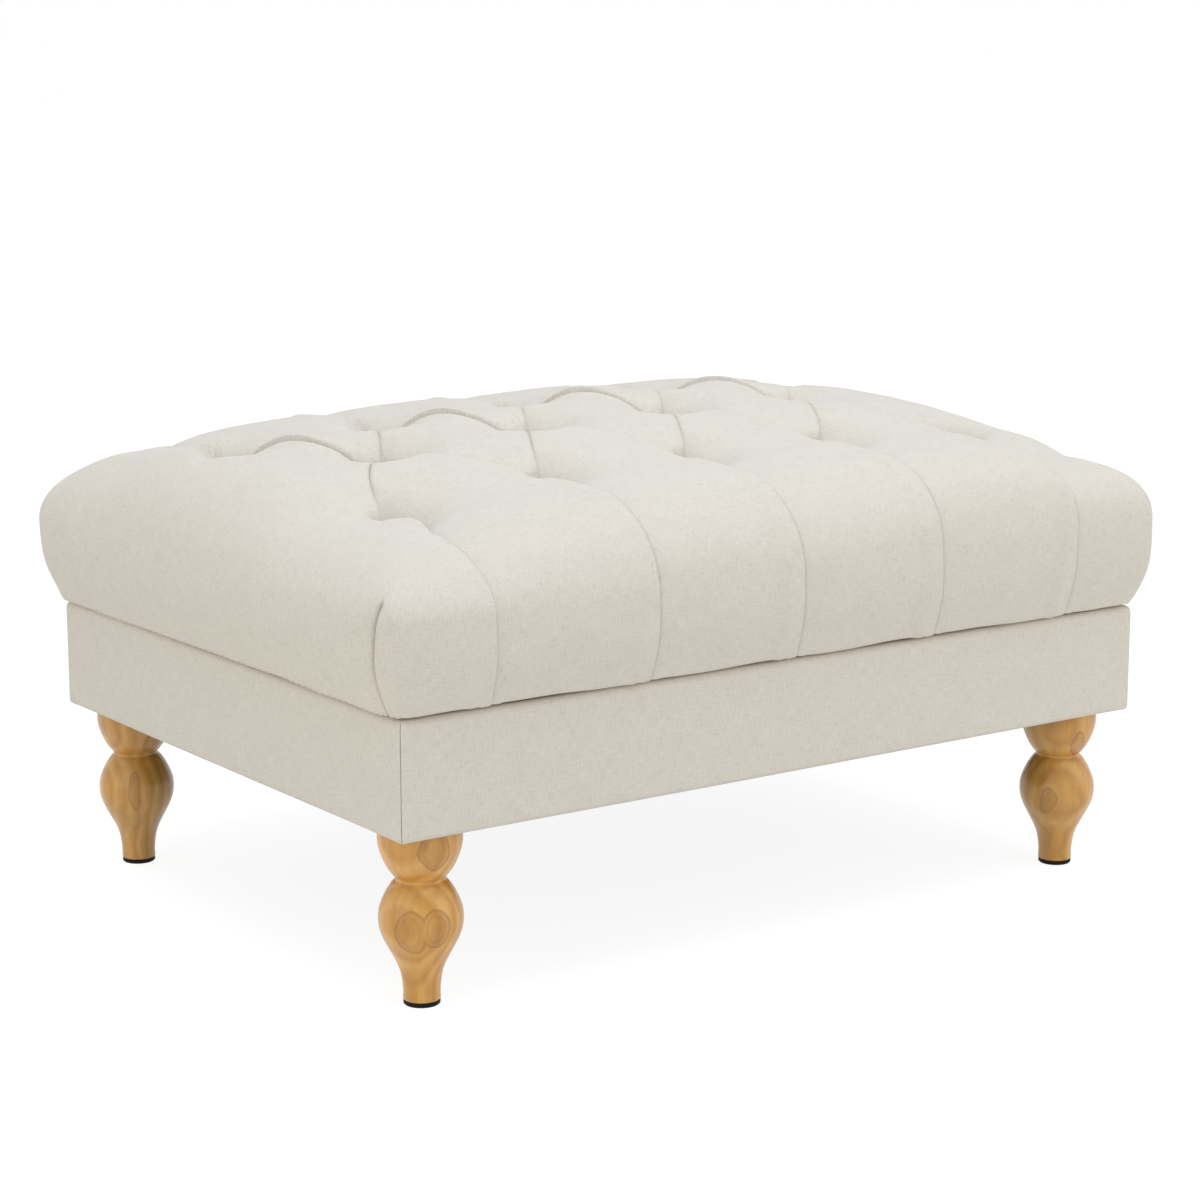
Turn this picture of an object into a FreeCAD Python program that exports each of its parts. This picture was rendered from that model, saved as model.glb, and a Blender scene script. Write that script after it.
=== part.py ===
"""Pouf: a diamond tufted seat cushion on an upholstered plinth with four turned wooden legs.

Millimetres. The origin is on the floor under the middle of the pouf, +X runs along its long side
and +Z is up. The front is the long side at -Y.
"""

import FreeCAD, Part
import math
import os
import Sketcher
from FreeCAD import Vector

ROOT_POINT = -1
START = 1
END = 2
VERTICAL_AXIS = -2
HORIZONTAL_AXIS = -1
SAME_POINT = 1e-4
FULL_TURN = 360
UP = Vector(0, 0, 1)
DOWN = Vector(0, 0, -1)

doc = FreeCAD.newDocument("pouf")

# Driving sizes: alias, size and what it measures
SIZES = [
    ("plinth_length", 800, "plinth, outside, along X"),
    ("plinth_width", 600, "plinth, outside, along Y"),
    ("plinth_height", 100, "plinth from the leg tops to the cushion"),
    ("glide_height", 4, "glide under each leg"),
    ("glide_radius", 15.2, "glide"),
    ("glide_edge", 1, "bevel round the glide"),
    ("glide_nail_radius", 1.2, "nail that holds the glide"),
    ("glide_nail_length", 18, "nail, inside the leg"),
    ("foot_radius", 15.3, "leg at its foot"),
    ("foot_height", 8.6, "straight part above the glide"),
    ("ankle_round", 61, "hollow curve of the ankle"),
    ("ankle_angle", 31, "slope of the leg between ankle and bulb, in degrees"),
    ("bulb_radius", 34.9, "widest part of the bulb"),
    ("bulb_under_round", 32, "curve of the bulb's lower half"),
    ("bulb_upper_round", 39, "curve of the bulb's upper half"),
    ("bulb_angle", 49.4, "turn of the bulb's upper curve, in degrees"),
    ("neck_height", 1.8, "straight neck over the bulb"),
    ("cup_radius", 34.9, "widest part of the cup under the plinth"),
    ("cup_round", 64, "curve of the cup"),
    ("collar_height", 8.1, "straight part at the leg's top"),
    ("leg_inset", 46, "leg axis from the plinth's outer faces"),
    ("bolt_radius", 4, "hanger bolt"),
    ("bolt_in_leg", 30, "hanger bolt inside the leg"),
    ("bolt_play", 0.1, "play round bolts, nails, screws and twines"),
    ("nut_barrel_radius", 5.5, "tee nut barrel"),
    ("nut_barrel_length", 12, "tee nut barrel"),
    ("nut_flange_radius", 11, "tee nut flange"),
    ("nut_flange_thickness", 1.5, "tee nut flange"),
    ("rail_thickness", 20, "frame rails"),
    ("rail_edge_round", 5, "rounded outer edges of the rails"),
    ("padding_thickness", 3, "padding band round the rails"),
    ("cover_thickness", 1, "upholstery fabric"),
    ("plinth_edge_round", 9, "rounded top and bottom edges of the plinth"),
    ("plinth_hem", 22, "plinth fabric turned in, from the outer face"),
    ("dust_thickness", 0.6, "dust cover"),
    ("dust_inset", 9, "dust cover from the plinth's outer faces"),
    ("block_size", 60, "corner block, along X and Y"),
    ("block_height", 36, "corner block"),
    ("brace_width", 44, "cross brace"),
    ("brace_thickness", 20, "cross brace"),
    ("brace_offset", 117, "cross brace from the middle"),
    ("board_thickness", 15, "seat board"),
    ("board_inset", 8, "seat board from the plinth's outer faces"),
    ("board_corner", 12, "seat board corner radius"),
    ("seat_hem", 40, "seat cover turned under, from the plinth's outer face"),
    ("cushion_height", 190, "cushion, from the plinth to the crown"),
    ("cushion_bulge", 19, "how far the cushion stands out past the plinth"),
    ("belly_height", 75, "widest line of the cushion over the plinth"),
    ("shoulder_round", 85, "rounded top edges of the cushion"),
    ("cushion_corner", 30, "upright corners of the cushion"),
    ("end_rise", 3, "rise of the long crown over the cross crown"),
    ("wadding_side", 16, "cover and wadding at the sides"),
    ("wadding_top", 34, "cover and wadding at the crown"),
    ("tuft_pitch_x", 156, "tufts along X"),
    ("tuft_pitch_y", 137, "rows of tufts"),
    ("tuft_floor", 86, "bottom of the tufts under the crown"),
    ("tuft_floor_radius", 12.5, "bottom of the tufts"),
    ("tuft_mouth_radius", 46, "mouth of the tufts"),
    ("fold_depth", 27, "folds between the tufts"),
    ("fold_half_width", 34, "folds between the tufts"),
    ("pleat_depth", 7, "pleats on the long sides"),
    ("pleat_half_width", 9, "pleats on the long sides"),
    ("foam_hole_radius", 26, "holes of the foam"),
    ("tuft_plug", 12, "wadding between the tuft's bottom and the open hole"),
    ("button_radius", 12, "covered buttons"),
    ("button_height", 6, "covered buttons"),
    ("button_rim", 2, "straight rim of the buttons"),
    ("twine_radius", 0.9, "tufting twine"),
    ("twine_hole_radius", 2.5, "holes for the twine in the board"),
    ("washer_radius", 10, "washers under the board"),
    ("washer_thickness", 1.5, "washers under the board"),
    ("knot_radius", 2.4, "knots under the washers"),
    ("screw_radius", 2, "wood screws"),
    ("screw_head_radius", 4, "wood screws"),
    ("screw_head_height", 3, "wood screws"),
    ("screw_length", 45, "screws of the frame"),
    ("seat_screw_length", 32, "screws of the seat board"),
    ("screw_spacing", 16, "two screws side by side"),
    ("screw_edge", 10, "screws from the edge of a block"),
    ("seat_screw_pitch", 180, "screws along a brace"),
    ("staple_width", 10, "staples"),
    ("staple_leg", 7, "staples"),
    ("staple_wire", 0.6, "staples"),
    ("staple_pitch", 75, "staples along an edge"),
    ("dust_staple_inset", 16, "dust cover staples from the outer faces"),
    ("seat_staple_inset", 32, "seat cover staples from the outer faces"),
    ("staple_clear", 100, "staples keep this far from the plinth's corners"),
    ("soft_gap", 0.2, "play between foam, wadding and board"),
]

size = doc.addObject("Spreadsheet::Sheet", "size")
for row, (alias, value, meaning) in enumerate(SIZES, start=1):
    size.set("A" + str(row), meaning)
    size.set("B" + str(row), str(value))
    size.setAlias("B" + str(row), alias)
doc.recompute()

place = doc.addObject("App::VarSet", "place")


def derive(name, formula):
    """Keep a level or offset that is worked out from the driving sizes."""
    place.addProperty("App::PropertyFloat", name)
    place.setExpression(name, formula)
    place.recompute()


# The leg, from the floor up: levels and the radii where its curves meet
derive("foot_top", "size.glide_height + size.foot_height")
derive("ankle_rise", "size.ankle_round * sin(size.ankle_angle)")
derive("ankle_top", "place.foot_top + place.ankle_rise")
derive("ankle_top_radius", "size.foot_radius + size.ankle_round * (1 - cos(size.ankle_angle))")
derive("bulb_low_radius", "size.bulb_radius - size.bulb_under_round * (1 - cos(size.ankle_angle))")
derive("flank_rise", "(place.bulb_low_radius - place.ankle_top_radius) / tan(size.ankle_angle)")
derive("bulb_low", "place.ankle_top + place.flank_rise")
derive("bulb_level", "place.bulb_low + size.bulb_under_round * sin(size.ankle_angle)")
derive("neck_level", "place.bulb_level + size.bulb_upper_round * sin(size.bulb_angle)")
derive("neck_radius", "size.bulb_radius - size.bulb_upper_round * (1 - cos(size.bulb_angle))")
derive("cup_low", "place.neck_level + size.neck_height")
derive("cup_drop", "size.cup_round - size.cup_radius + place.neck_radius")
derive("cup_level", "place.cup_low + sqrt(size.cup_round ^ 2 - place.cup_drop ^ 2)")
derive("leg_top", "place.cup_level + size.collar_height")

# The frame, from the leg tops up
derive("half_length", "size.plinth_length / 2")
derive("half_width", "size.plinth_width / 2")
derive("block_floor", "place.leg_top + size.dust_thickness")
derive("block_top", "place.block_floor + size.block_height")
derive("rail_floor", "place.block_floor + size.cover_thickness")
derive("seat_level", "place.leg_top + size.plinth_height")
derive("rail_top", "place.seat_level - size.cover_thickness")
derive("skin", "size.padding_thickness + size.cover_thickness")
derive("rail_inner", "place.skin + size.rail_thickness")
derive("inner_round", "size.plinth_edge_round - size.cover_thickness")
derive("leg_x", "place.half_length - size.leg_inset")
derive("leg_y", "place.half_width - size.leg_inset")

# The cushion
derive("board_floor", "place.seat_level + size.cover_thickness")
derive("board_top", "place.board_floor + size.board_thickness")
derive("board_half_x", "place.half_length - size.board_inset")
derive("board_half_y", "place.half_width - size.board_inset")
derive("belly_level", "place.seat_level + size.belly_height")
derive("crown", "place.seat_level + size.cushion_height")
derive("belly_x", "place.half_length + size.cushion_bulge")
derive("belly_y", "place.half_width + size.cushion_bulge")
derive("tuft_level", "place.crown - size.tuft_floor")
derive("hole_level", "place.tuft_level - size.tuft_plug")
doc.recompute()


def number(formula):
    """The value of a formula, worked out by the document."""
    place.setExpression("working", formula)
    place.recompute()
    return place.working


place.addProperty("App::PropertyFloat", "working")


def outline(sketch, corners, rounds):
    """Draw a closed outline through corners, each a pair of formulas.

    rounds gives the radius formula of each side that is an arc, by the number of the corner where
    the side starts, and whether the arc bulges to the left (+1) or the right (-1) of its way.
    """
    points = [Vector(number(across), number(up), 0) for across, up in corners]
    ends = []
    for side, start in enumerate(points):
        end = points[(side + 1) % len(points)]
        if side in rounds:
            radius, bulge = rounds[side]
            chord = end - start
            half = chord.Length / 2
            reach = number(radius)
            rise = reach - math.sqrt(max(reach ** 2 - half ** 2, 0))
            left = Vector(-chord.y, chord.x, 0).normalize()
            middle = (start + end) / 2 + left * (rise * bulge)
            sketch.addGeometry(Part.Arc(start, middle, end), False)
        else:
            sketch.addGeometry(Part.LineSegment(start, end), False)
        straight = sketch.getPoint(side, START).distanceToPoint(start) < SAME_POINT
        ends.append((START, END) if straight else (END, START))
    for side, (across, up) in enumerate(corners):
        last = side - 1 if side else len(corners) - 1
        begin = ends[side][0]
        sketch.addConstraint(Sketcher.Constraint("Coincident", last, ends[last][1], side, begin))
        for kind, axis, formula, value in (
            ("DistanceX", VERTICAL_AXIS, across, points[side].x),
            ("DistanceY", HORIZONTAL_AXIS, up, points[side].y),
        ):
            if abs(value) < SAME_POINT:
                sketch.addConstraint(Sketcher.Constraint("PointOnObject", side, begin, axis))
                continue
            if value > 0:
                rule = Sketcher.Constraint(kind, ROOT_POINT, START, side, begin, value)
            else:
                rule = Sketcher.Constraint(kind, side, begin, ROOT_POINT, START, -value)
                formula = "-(" + formula + ")"
            at = sketch.addConstraint(rule)
            sketch.setExpression("Constraints[" + str(at) + "]", formula)
        if side in rounds:
            radius = rounds[side][0]
            at = sketch.addConstraint(Sketcher.Constraint("Radius", side, number(radius)))
            sketch.setExpression("Constraints[" + str(at) + "]", radius)


def sketched_body(name, plane, corners, rounds):
    """A body with one closed outline on one of its own origin planes."""
    body = doc.addObject("PartDesign::Body", name)
    flat = [face for face in body.Origin.OriginFeatures if face.Role == plane][0]
    sketch = body.newObject("Sketcher::SketchObject", name + "_outline")
    sketch.AttachmentSupport = [(flat, "")]
    sketch.MapMode = "FlatFace"
    outline(sketch, corners, rounds)
    return body, sketch


def bar(name, plane, corners, length, rounds=None):
    """A piece of one section, centred on its sketch's plane."""
    body, sketch = sketched_body(name, plane, corners, rounds or {})
    pad = body.newObject("PartDesign::Pad", name + "_pad")
    pad.Profile = sketch
    pad.SideType = "Symmetric"
    pad.setExpression("Length", length)
    return body


def turned(name, corners, rounds=None):
    """A piece turned about the vertical axis."""
    body, sketch = sketched_body(name, "XZ_Plane", corners, rounds or {})
    spin = body.newObject("PartDesign::Revolution", name + "_turning")
    spin.Profile = sketch
    spin.ReferenceAxis = (sketch, ["V_Axis"])
    spin.Angle = FULL_TURN
    return body


def put(thing, x="0", y="0", z="0"):
    """Tie a piece's place to formulas."""
    thing.setExpression("Placement.Base.x", x)
    thing.setExpression("Placement.Base.y", y)
    thing.setExpression("Placement.Base.z", z)
    return thing


def block(name, length, width, height, x, y, z):
    """A box given by its sizes and its lowest corner."""
    box = doc.addObject("Part::Box", name)
    box.setExpression("Length", length)
    box.setExpression("Width", width)
    box.setExpression("Height", height)
    return put(box, x, y, z)


def less(name, base, *tools):
    """A piece with one or more others cut out of it, one after another."""
    for step, tool in enumerate(tools, start=1):
        cut = doc.addObject("Part::Cut", name + "_cut" + str(step))
        cut.Base = base
        cut.Tool = tool
        base = cut
    return base


def group(name, shapes):
    """Like pieces, or the tools for their holes, kept together as separate solids."""
    thing = doc.addObject("Part::Feature", name)
    thing.Shape = Part.makeCompound(shapes)
    thing.Placement = FreeCAD.Placement()
    return thing


def cylinder(radius, height, foot, axis=UP):
    """A plain cylinder from the middle of its foot."""
    return Part.makeCylinder(radius, height, foot, axis)


# Where the tufts are: rows at the front and back, and a row between them half a pitch along
PITCH_X = size.get("tuft_pitch_x")
PITCH_Y = size.get("tuft_pitch_y")
OUTER_ROW = [step * PITCH_X for step in (-2, -1, 0, 1, 2)]
MIDDLE_ROW = [step * PITCH_X for step in (-1.5, -0.5, 0.5, 1.5)]
TUFTS = [(x, y) for y in (-PITCH_Y, PITCH_Y) for x in OUTER_ROW] + [(x, 0) for x in MIDDLE_ROW]


def tuft_columns(radius, low, high):
    """Upright cylinders on every tuft, between two levels."""
    return [cylinder(radius, high - low, Vector(x, y, low)) for x, y in TUFTS]


def screw(head, way, length):
    """A countersunk wood screw from the middle of its head, along way."""
    shank = size.get("screw_radius")
    cone = Part.makeCone(size.get("screw_head_radius"), shank, size.get("screw_head_height"), head, way)
    return cone.fuse(cylinder(shank, length, head, way)).removeSplitter()


def staple(middle, along, way):
    """A staple: a crown along one way, centred on middle, and two legs."""
    wire = size.get("staple_wire")
    span = size.get("staple_width")
    parts = []
    for low, high, deep in (
        (-span / 2, span / 2, wire),
        (-span / 2, -span / 2 + wire, size.get("staple_leg")),
        (span / 2 - wire, span / 2, size.get("staple_leg")),
    ):
        side = along.cross(way)
        corners = [
            middle + along * along_at + side * side_at
            for along_at, side_at in ((low, -wire / 2), (high, -wire / 2), (high, wire / 2), (low, wire / 2))
        ]
        face = Part.Face(Part.makePolygon(corners + corners[:1]))
        parts.append(face.extrude(way * deep))
    return parts[0].fuse(parts[1:]).removeSplitter()


def staple_ring(inset, level, way):
    """Staples along the four sides of the plinth, clear of its corners."""
    staples = []
    clear = size.get("staple_clear")
    for half, other, along, across in (
        (place.half_length, place.half_width, Vector(1, 0, 0), Vector(0, 1, 0)),
        (place.half_width, place.half_length, Vector(0, 1, 0), Vector(1, 0, 0)),
    ):
        run = 2 * (half - clear)
        spaces = max(int(round(run / size.get("staple_pitch"))), 1)
        for side in (-1, 1):
            for step in range(spaces + 1):
                at = along * (-run / 2 + run * step / spaces) + across * (side * (other - inset))
                staples.append(staple(at + Vector(0, 0, level), along, way))
    return staples


CORNERS = [("front_left", -1, -1), ("front_right", 1, -1), ("back_left", -1, 1), ("back_right", 1, 1)]
nodes = []


def keep(thing, label):
    """Name a finished piece and list it for the files."""
    thing.Label = label
    nodes.append(thing)
    return thing


# Legs with their glides
LEG_OUTLINE = [
    ("size.glide_nail_radius", "size.glide_height"),
    ("size.foot_radius", "size.glide_height"),
    ("size.foot_radius", "place.foot_top"),
    ("place.ankle_top_radius", "place.ankle_top"),
    ("place.bulb_low_radius", "place.bulb_low"),
    ("size.bulb_radius", "place.bulb_level"),
    ("place.neck_radius", "place.neck_level"),
    ("place.neck_radius", "place.cup_low"),
    ("size.cup_radius", "place.cup_level"),
    ("size.cup_radius", "place.leg_top"),
    ("size.bolt_radius", "place.leg_top"),
    ("size.bolt_radius", "place.leg_top - size.bolt_in_leg"),
    ("0", "place.leg_top - size.bolt_in_leg"),
    ("0", "size.glide_height + size.glide_nail_length"),
    ("size.glide_nail_radius", "size.glide_height + size.glide_nail_length"),
]
LEG_ROUNDS = {
    2: ("size.ankle_round", 1),
    4: ("size.bulb_under_round", -1),
    5: ("size.bulb_upper_round", -1),
    7: ("size.cup_round", -1),
}
GLIDE_OUTLINE = [
    ("0", "0"),
    ("size.glide_radius - size.glide_edge", "0"),
    ("size.glide_radius", "size.glide_edge"),
    ("size.glide_radius", "size.glide_height"),
    ("size.glide_nail_radius", "size.glide_height"),
    ("size.glide_nail_radius", "size.glide_height / 2"),
    ("0", "size.glide_height / 2"),
]
NUT_OUTLINE = [
    ("size.bolt_radius + size.bolt_play", "place.block_top - size.nut_barrel_length"),
    ("size.nut_barrel_radius", "place.block_top - size.nut_barrel_length"),
    ("size.nut_barrel_radius", "place.block_top"),
    ("size.nut_flange_radius", "place.block_top"),
    ("size.nut_flange_radius", "place.block_top + size.nut_flange_thickness"),
    ("size.bolt_radius + size.bolt_play", "place.block_top + size.nut_flange_thickness"),
]
bolt_foot = place.leg_top - size.get("bolt_in_leg")
nail_foot = size.get("glide_height") / 2
nail_top = size.get("glide_height") + size.get("glide_nail_length")
bolt_slack = size.get("bolt_play")
bolts = []
nails = []
dust_holes = []
for corner, side_x, side_y in CORNERS:
    spot = (str(side_x) + " * place.leg_x", str(side_y) + " * place.leg_y")
    axis_x = side_x * place.leg_x
    axis_y = side_y * place.leg_y
    keep(put(turned("leg_" + corner, LEG_OUTLINE, LEG_ROUNDS), *spot), "leg_" + corner)
    keep(put(turned("glide_" + corner, GLIDE_OUTLINE), *spot), "glide_" + corner)
    keep(put(turned("tee_nut_" + corner, NUT_OUTLINE), *spot), "tee_nut_" + corner)
    hole_radius = size.get("nut_barrel_radius") + bolt_slack
    hole = group("block_hole_" + corner, [cylinder(hole_radius, 2 * size.get("block_height"),
                                                   Vector(axis_x, axis_y, place.leg_top))])
    low_x = "place.half_length - place.rail_inner - size.block_size" if side_x > 0 else \
        "place.rail_inner - place.half_length"
    low_y = "place.half_width - place.rail_inner - size.block_size" if side_y > 0 else \
        "place.rail_inner - place.half_width"
    block("block_" + corner, "size.block_size", "size.block_size", "size.block_height",
          low_x, low_y, "place.block_floor")
    dust_holes.append(cylinder(hole_radius, size.get("block_height"),
                               Vector(axis_x, axis_y, place.leg_top - size.get("block_height") / 2)))
    bolt_top = place.block_top + size.get("nut_flange_thickness")
    bolts.append(cylinder(size.get("bolt_radius") - bolt_slack, bolt_top - bolt_foot,
                          Vector(axis_x, axis_y, bolt_foot)))
    nails.append(cylinder(size.get("glide_nail_radius") - bolt_slack, nail_top - nail_foot,
                          Vector(axis_x, axis_y, nail_foot)))
keep(group("bolts", bolts), "hanger_bolts")
keep(group("nails", nails), "glide_nails")

# Screws: from outside through the rails into the corner blocks and the ends of the braces
screws = []
rail_x = place.half_length - place.skin
rail_y = place.half_width - place.skin
low_screw = place.rail_floor + size.get("screw_edge")
block_inner = place.rail_inner + size.get("block_size") - size.get("screw_edge")
for corner, side_x, side_y in CORNERS:
    for step in (0, 1):
        level = low_screw + step * size.get("screw_spacing")
        from_side = Vector(side_x * rail_x, side_y * (place.half_width - block_inner), level)
        from_face = Vector(side_x * (place.half_length - block_inner), side_y * rail_y, level)
        screws.append(screw(from_side, Vector(-side_x, 0, 0), size.get("screw_length")))
        screws.append(screw(from_face, Vector(0, -side_y, 0), size.get("screw_length")))
brace_middle = place.seat_level - size.get("brace_thickness") / 2
for side_x in (-1, 1):
    for side_y in (-1, 1):
        for step in (-0.5, 0.5):
            x = side_x * size.get("brace_offset") + step * size.get("screw_spacing")
            head = Vector(x, side_y * rail_y, brace_middle)
            screws.append(screw(head, Vector(0, -side_y, 0), size.get("screw_length")))
frame_screws = keep(group("frame_screws_group", screws), "frame_screws")
seat_screw_floor = place.seat_level - size.get("brace_thickness")
seat_screws = keep(group("seat_screws_group", [
    screw(Vector(side * size.get("brace_offset"), step * size.get("seat_screw_pitch"), seat_screw_floor),
          UP, size.get("seat_screw_length"))
    for side in (-1, 1) for step in (-1, 0, 1)
]), "seat_board_screws")

# Staples
dust_staples = keep(group("dust_staples_group", staple_ring(
    size.get("dust_staple_inset"), place.leg_top - size.get("staple_wire"), UP)), "dust_cover_staples")
seat_staples = keep(group("seat_staples_group", staple_ring(
    size.get("seat_staple_inset"), place.seat_level - size.get("staple_wire"), UP)), "seat_cover_staples")
plinth_staples = keep(group("plinth_staples_group", staple_ring(
    size.get("dust_staple_inset"), place.seat_level, DOWN)), "plinth_cover_staples")

# Frame rails: the front and back run the whole length, and the sides stand between them
RAIL_ROUND = "size.rail_edge_round"
RAIL_END = "(place.half_length - place.skin)"
RAIL_BEND = "(place.half_length - place.skin - " + RAIL_ROUND + ")"
rail_ends = bar("rail_ends", "XZ_Plane", [
    ("-1 * " + RAIL_BEND, "place.rail_floor"),
    (RAIL_BEND, "place.rail_floor"),
    (RAIL_END, "place.rail_floor + " + RAIL_ROUND),
    (RAIL_END, "place.rail_top - " + RAIL_ROUND),
    (RAIL_BEND, "place.rail_top"),
    ("-1 * " + RAIL_BEND, "place.rail_top"),
    ("-1 * " + RAIL_END, "place.rail_top - " + RAIL_ROUND),
    ("-1 * " + RAIL_END, "place.rail_floor + " + RAIL_ROUND),
], "size.plinth_width", {turn: (RAIL_ROUND, -1) for turn in (1, 3, 5, 7)})
for name, side, plane, half, length in (
    ("front_rail", -1, "YZ_Plane", "place.half_width", "size.plinth_length - 2 * place.skin"),
    ("back_rail", 1, "YZ_Plane", "place.half_width", "size.plinth_length - 2 * place.skin"),
    ("left_rail", -1, "XZ_Plane", "place.half_length", "size.plinth_width - 2 * place.rail_inner"),
    ("right_rail", 1, "XZ_Plane", "place.half_length", "size.plinth_width - 2 * place.rail_inner"),
):
    outer = str(side) + " * (" + half + " - place.skin)"
    inner = str(side) + " * (" + half + " - place.rail_inner)"
    edge = str(side) + " * (" + half + " - place.skin - " + RAIL_ROUND + ")"
    rail = bar(name + "_body", plane, [
        (inner, "place.rail_floor"),
        (edge, "place.rail_floor"),
        (outer, "place.rail_floor + " + RAIL_ROUND),
        (outer, "place.rail_top - " + RAIL_ROUND),
        (edge, "place.rail_top"),
        (inner, "place.rail_top"),
    ], length, {1: (RAIL_ROUND, -side), 3: (RAIL_ROUND, -side)})
    if plane == "YZ_Plane":
        whole_rail = rail
        rail = doc.addObject("Part::Common", name + "_shaped")
        rail.Base = whole_rail
        rail.Tool = rail_ends
    keep(less(name, rail, frame_screws, dust_staples, plinth_staples), name)

# Corner blocks and cross braces
for corner, side_x, side_y in CORNERS:
    solid = doc.getObject("block_" + corner)
    hole = doc.getObject("block_hole_" + corner)
    keep(less("corner_block_" + corner, solid, hole, frame_screws), "corner_block_" + corner)
for name, side in (("left_brace", -1), ("right_brace", 1)):
    brace = block(name + "_blank", "size.brace_width", "size.plinth_width - 2 * place.rail_inner",
                  "size.brace_thickness",
                  str(side) + " * size.brace_offset - size.brace_width / 2",
                  "place.rail_inner - place.half_width", "place.seat_level - size.brace_thickness")
    keep(less(name, brace, frame_screws, seat_screws), name)

# Padding band round the rails, between the rounded edges of the fabric
band_low = "place.rail_floor + place.inner_round"
band_height = "place.rail_top - place.rail_floor - 2 * place.inner_round"
band = block("padding_outside", "size.plinth_length - 2 * size.cover_thickness",
             "size.plinth_width - 2 * size.cover_thickness", band_height,
             "size.cover_thickness - place.half_length", "size.cover_thickness - place.half_width", band_low)
band_core = block("padding_inside", "size.plinth_length - 2 * place.skin", "size.plinth_width - 2 * place.skin",
                  band_height, "place.skin - place.half_length", "place.skin - place.half_width", band_low)
keep(less("padding", band, band_core), "plinth_padding")

# Plinth cover: four panels turned in over the rails, mitred at the corners
for name, side, plane, half, run in (
    ("front", -1, "YZ_Plane", "place.half_width", "place.half_length"),
    ("back", 1, "YZ_Plane", "place.half_width", "place.half_length"),
    ("left", -1, "XZ_Plane", "place.half_length", "place.half_width"),
    ("right", 1, "XZ_Plane", "place.half_length", "place.half_width"),
):
    def inward(depth):
        """A formula for the place this far in from the plinth's outer face."""
        return str(side) + " * (" + half + " - " + depth + ")"

    hem = inward("size.plinth_hem")
    bend = inward("size.plinth_edge_round")
    face = inward("0")
    back = inward("size.cover_thickness")
    low = "place.block_floor"
    panel = bar(name + "_panel", plane, [
        (hem, "place.seat_level"),
        (bend, "place.seat_level"),
        (face, "place.seat_level - size.plinth_edge_round"),
        (face, low + " + size.plinth_edge_round"),
        (bend, low),
        (hem, low),
        (hem, "place.rail_floor"),
        (bend, "place.rail_floor"),
        (back, "place.rail_floor + place.inner_round"),
        (back, "place.rail_top - place.inner_round"),
        (bend, "place.rail_top"),
        (hem, "place.rail_top"),
    ], "2 * " + run, {
        1: ("size.plinth_edge_round", side),
        3: ("size.plinth_edge_round", side),
        7: ("place.inner_round", -side),
        9: ("place.inner_round", -side),
    })
    outer_side = str(side) + " * (" + half + ")"
    inner_side = str(side) + " * (" + half + " - size.seat_hem)"
    corners = [
        ("-1 * (" + run + ")", outer_side),
        (run, outer_side),
        (run + " - size.seat_hem", inner_side),
        ("size.seat_hem - " + run, inner_side),
    ]
    if plane == "XZ_Plane":
        corners = [(up, across) for across, up in corners]
    mitre = bar(name + "_mitre", "XY_Plane", corners, "2 * place.crown")
    trimmed = doc.addObject("Part::Common", name + "_trimmed")
    trimmed.Base = panel
    trimmed.Tool = mitre
    keep(less(name + "_cover", trimmed, dust_staples, plinth_staples), "plinth_cover_" + name)

# Dust cover under the frame
dust = block("dust_sheet", "size.plinth_length - 2 * size.dust_inset", "size.plinth_width - 2 * size.dust_inset",
             "size.dust_thickness", "size.dust_inset - place.half_length",
             "size.dust_inset - place.half_width", "place.leg_top")
keep(less("dust_cover_cut", dust, group("dust_holes", dust_holes), dust_staples), "dust_cover")


def rounded_plan(name, half_x, half_y, corner, height):
    """An upright block with rounded corners in plan, centred on the floor plane."""
    points = []
    for side_x, side_y, first in ((1, 1, "y"), (-1, 1, "x"), (-1, -1, "y"), (1, -1, "x")):
        along_y = (str(side_x) + " * (" + half_x + ")", str(side_y) + " * (" + half_y + " - " + corner + ")")
        along_x = (str(side_x) + " * (" + half_x + " - " + corner + ")", str(side_y) + " * (" + half_y + ")")
        points += [along_y, along_x] if first == "y" else [along_x, along_y]
    return bar(name, "XY_Plane", points, height, {turn: (corner, -1) for turn in (0, 2, 4, 6)})


def pillow_section(name, plane, foot, foot_level, belly, top, shoulder, length):
    """A cushion's section: sides drawn in at the foot, rounded shoulders and a crowned top."""
    lift = "((" + top + " - place.belly_level - " + shoulder + ") / (" + belly + " - " + shoulder + "))"
    lean = "(2 * " + lift + " / (1 + " + lift + " ^ 2))"
    level = "((1 - " + lift + " ^ 2) / (1 + " + lift + " ^ 2))"
    edge = "(" + belly + " - " + shoulder + " + " + shoulder + " * " + lean + ")"
    edge_level = "place.belly_level + " + shoulder + " * " + level
    drop = "(place.belly_level - " + foot_level + ")"
    draw_in = "(" + belly + " - " + foot + ")"
    side_round = "((" + drop + " ^ 2 + " + draw_in + " ^ 2) / (2 * " + draw_in + "))"
    return bar(name, plane, [
        ("-1 * (" + foot + ")", foot_level),
        (foot, foot_level),
        (belly, "place.belly_level"),
        (edge, edge_level),
        ("-1 * " + edge, edge_level),
        ("-1 * " + belly, "place.belly_level"),
    ], length, {
        1: (side_round, -1),
        2: (shoulder, -1),
        3: (edge + " / " + lean, -1),
        4: (shoulder, -1),
        5: (side_round, -1),
    })


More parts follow.
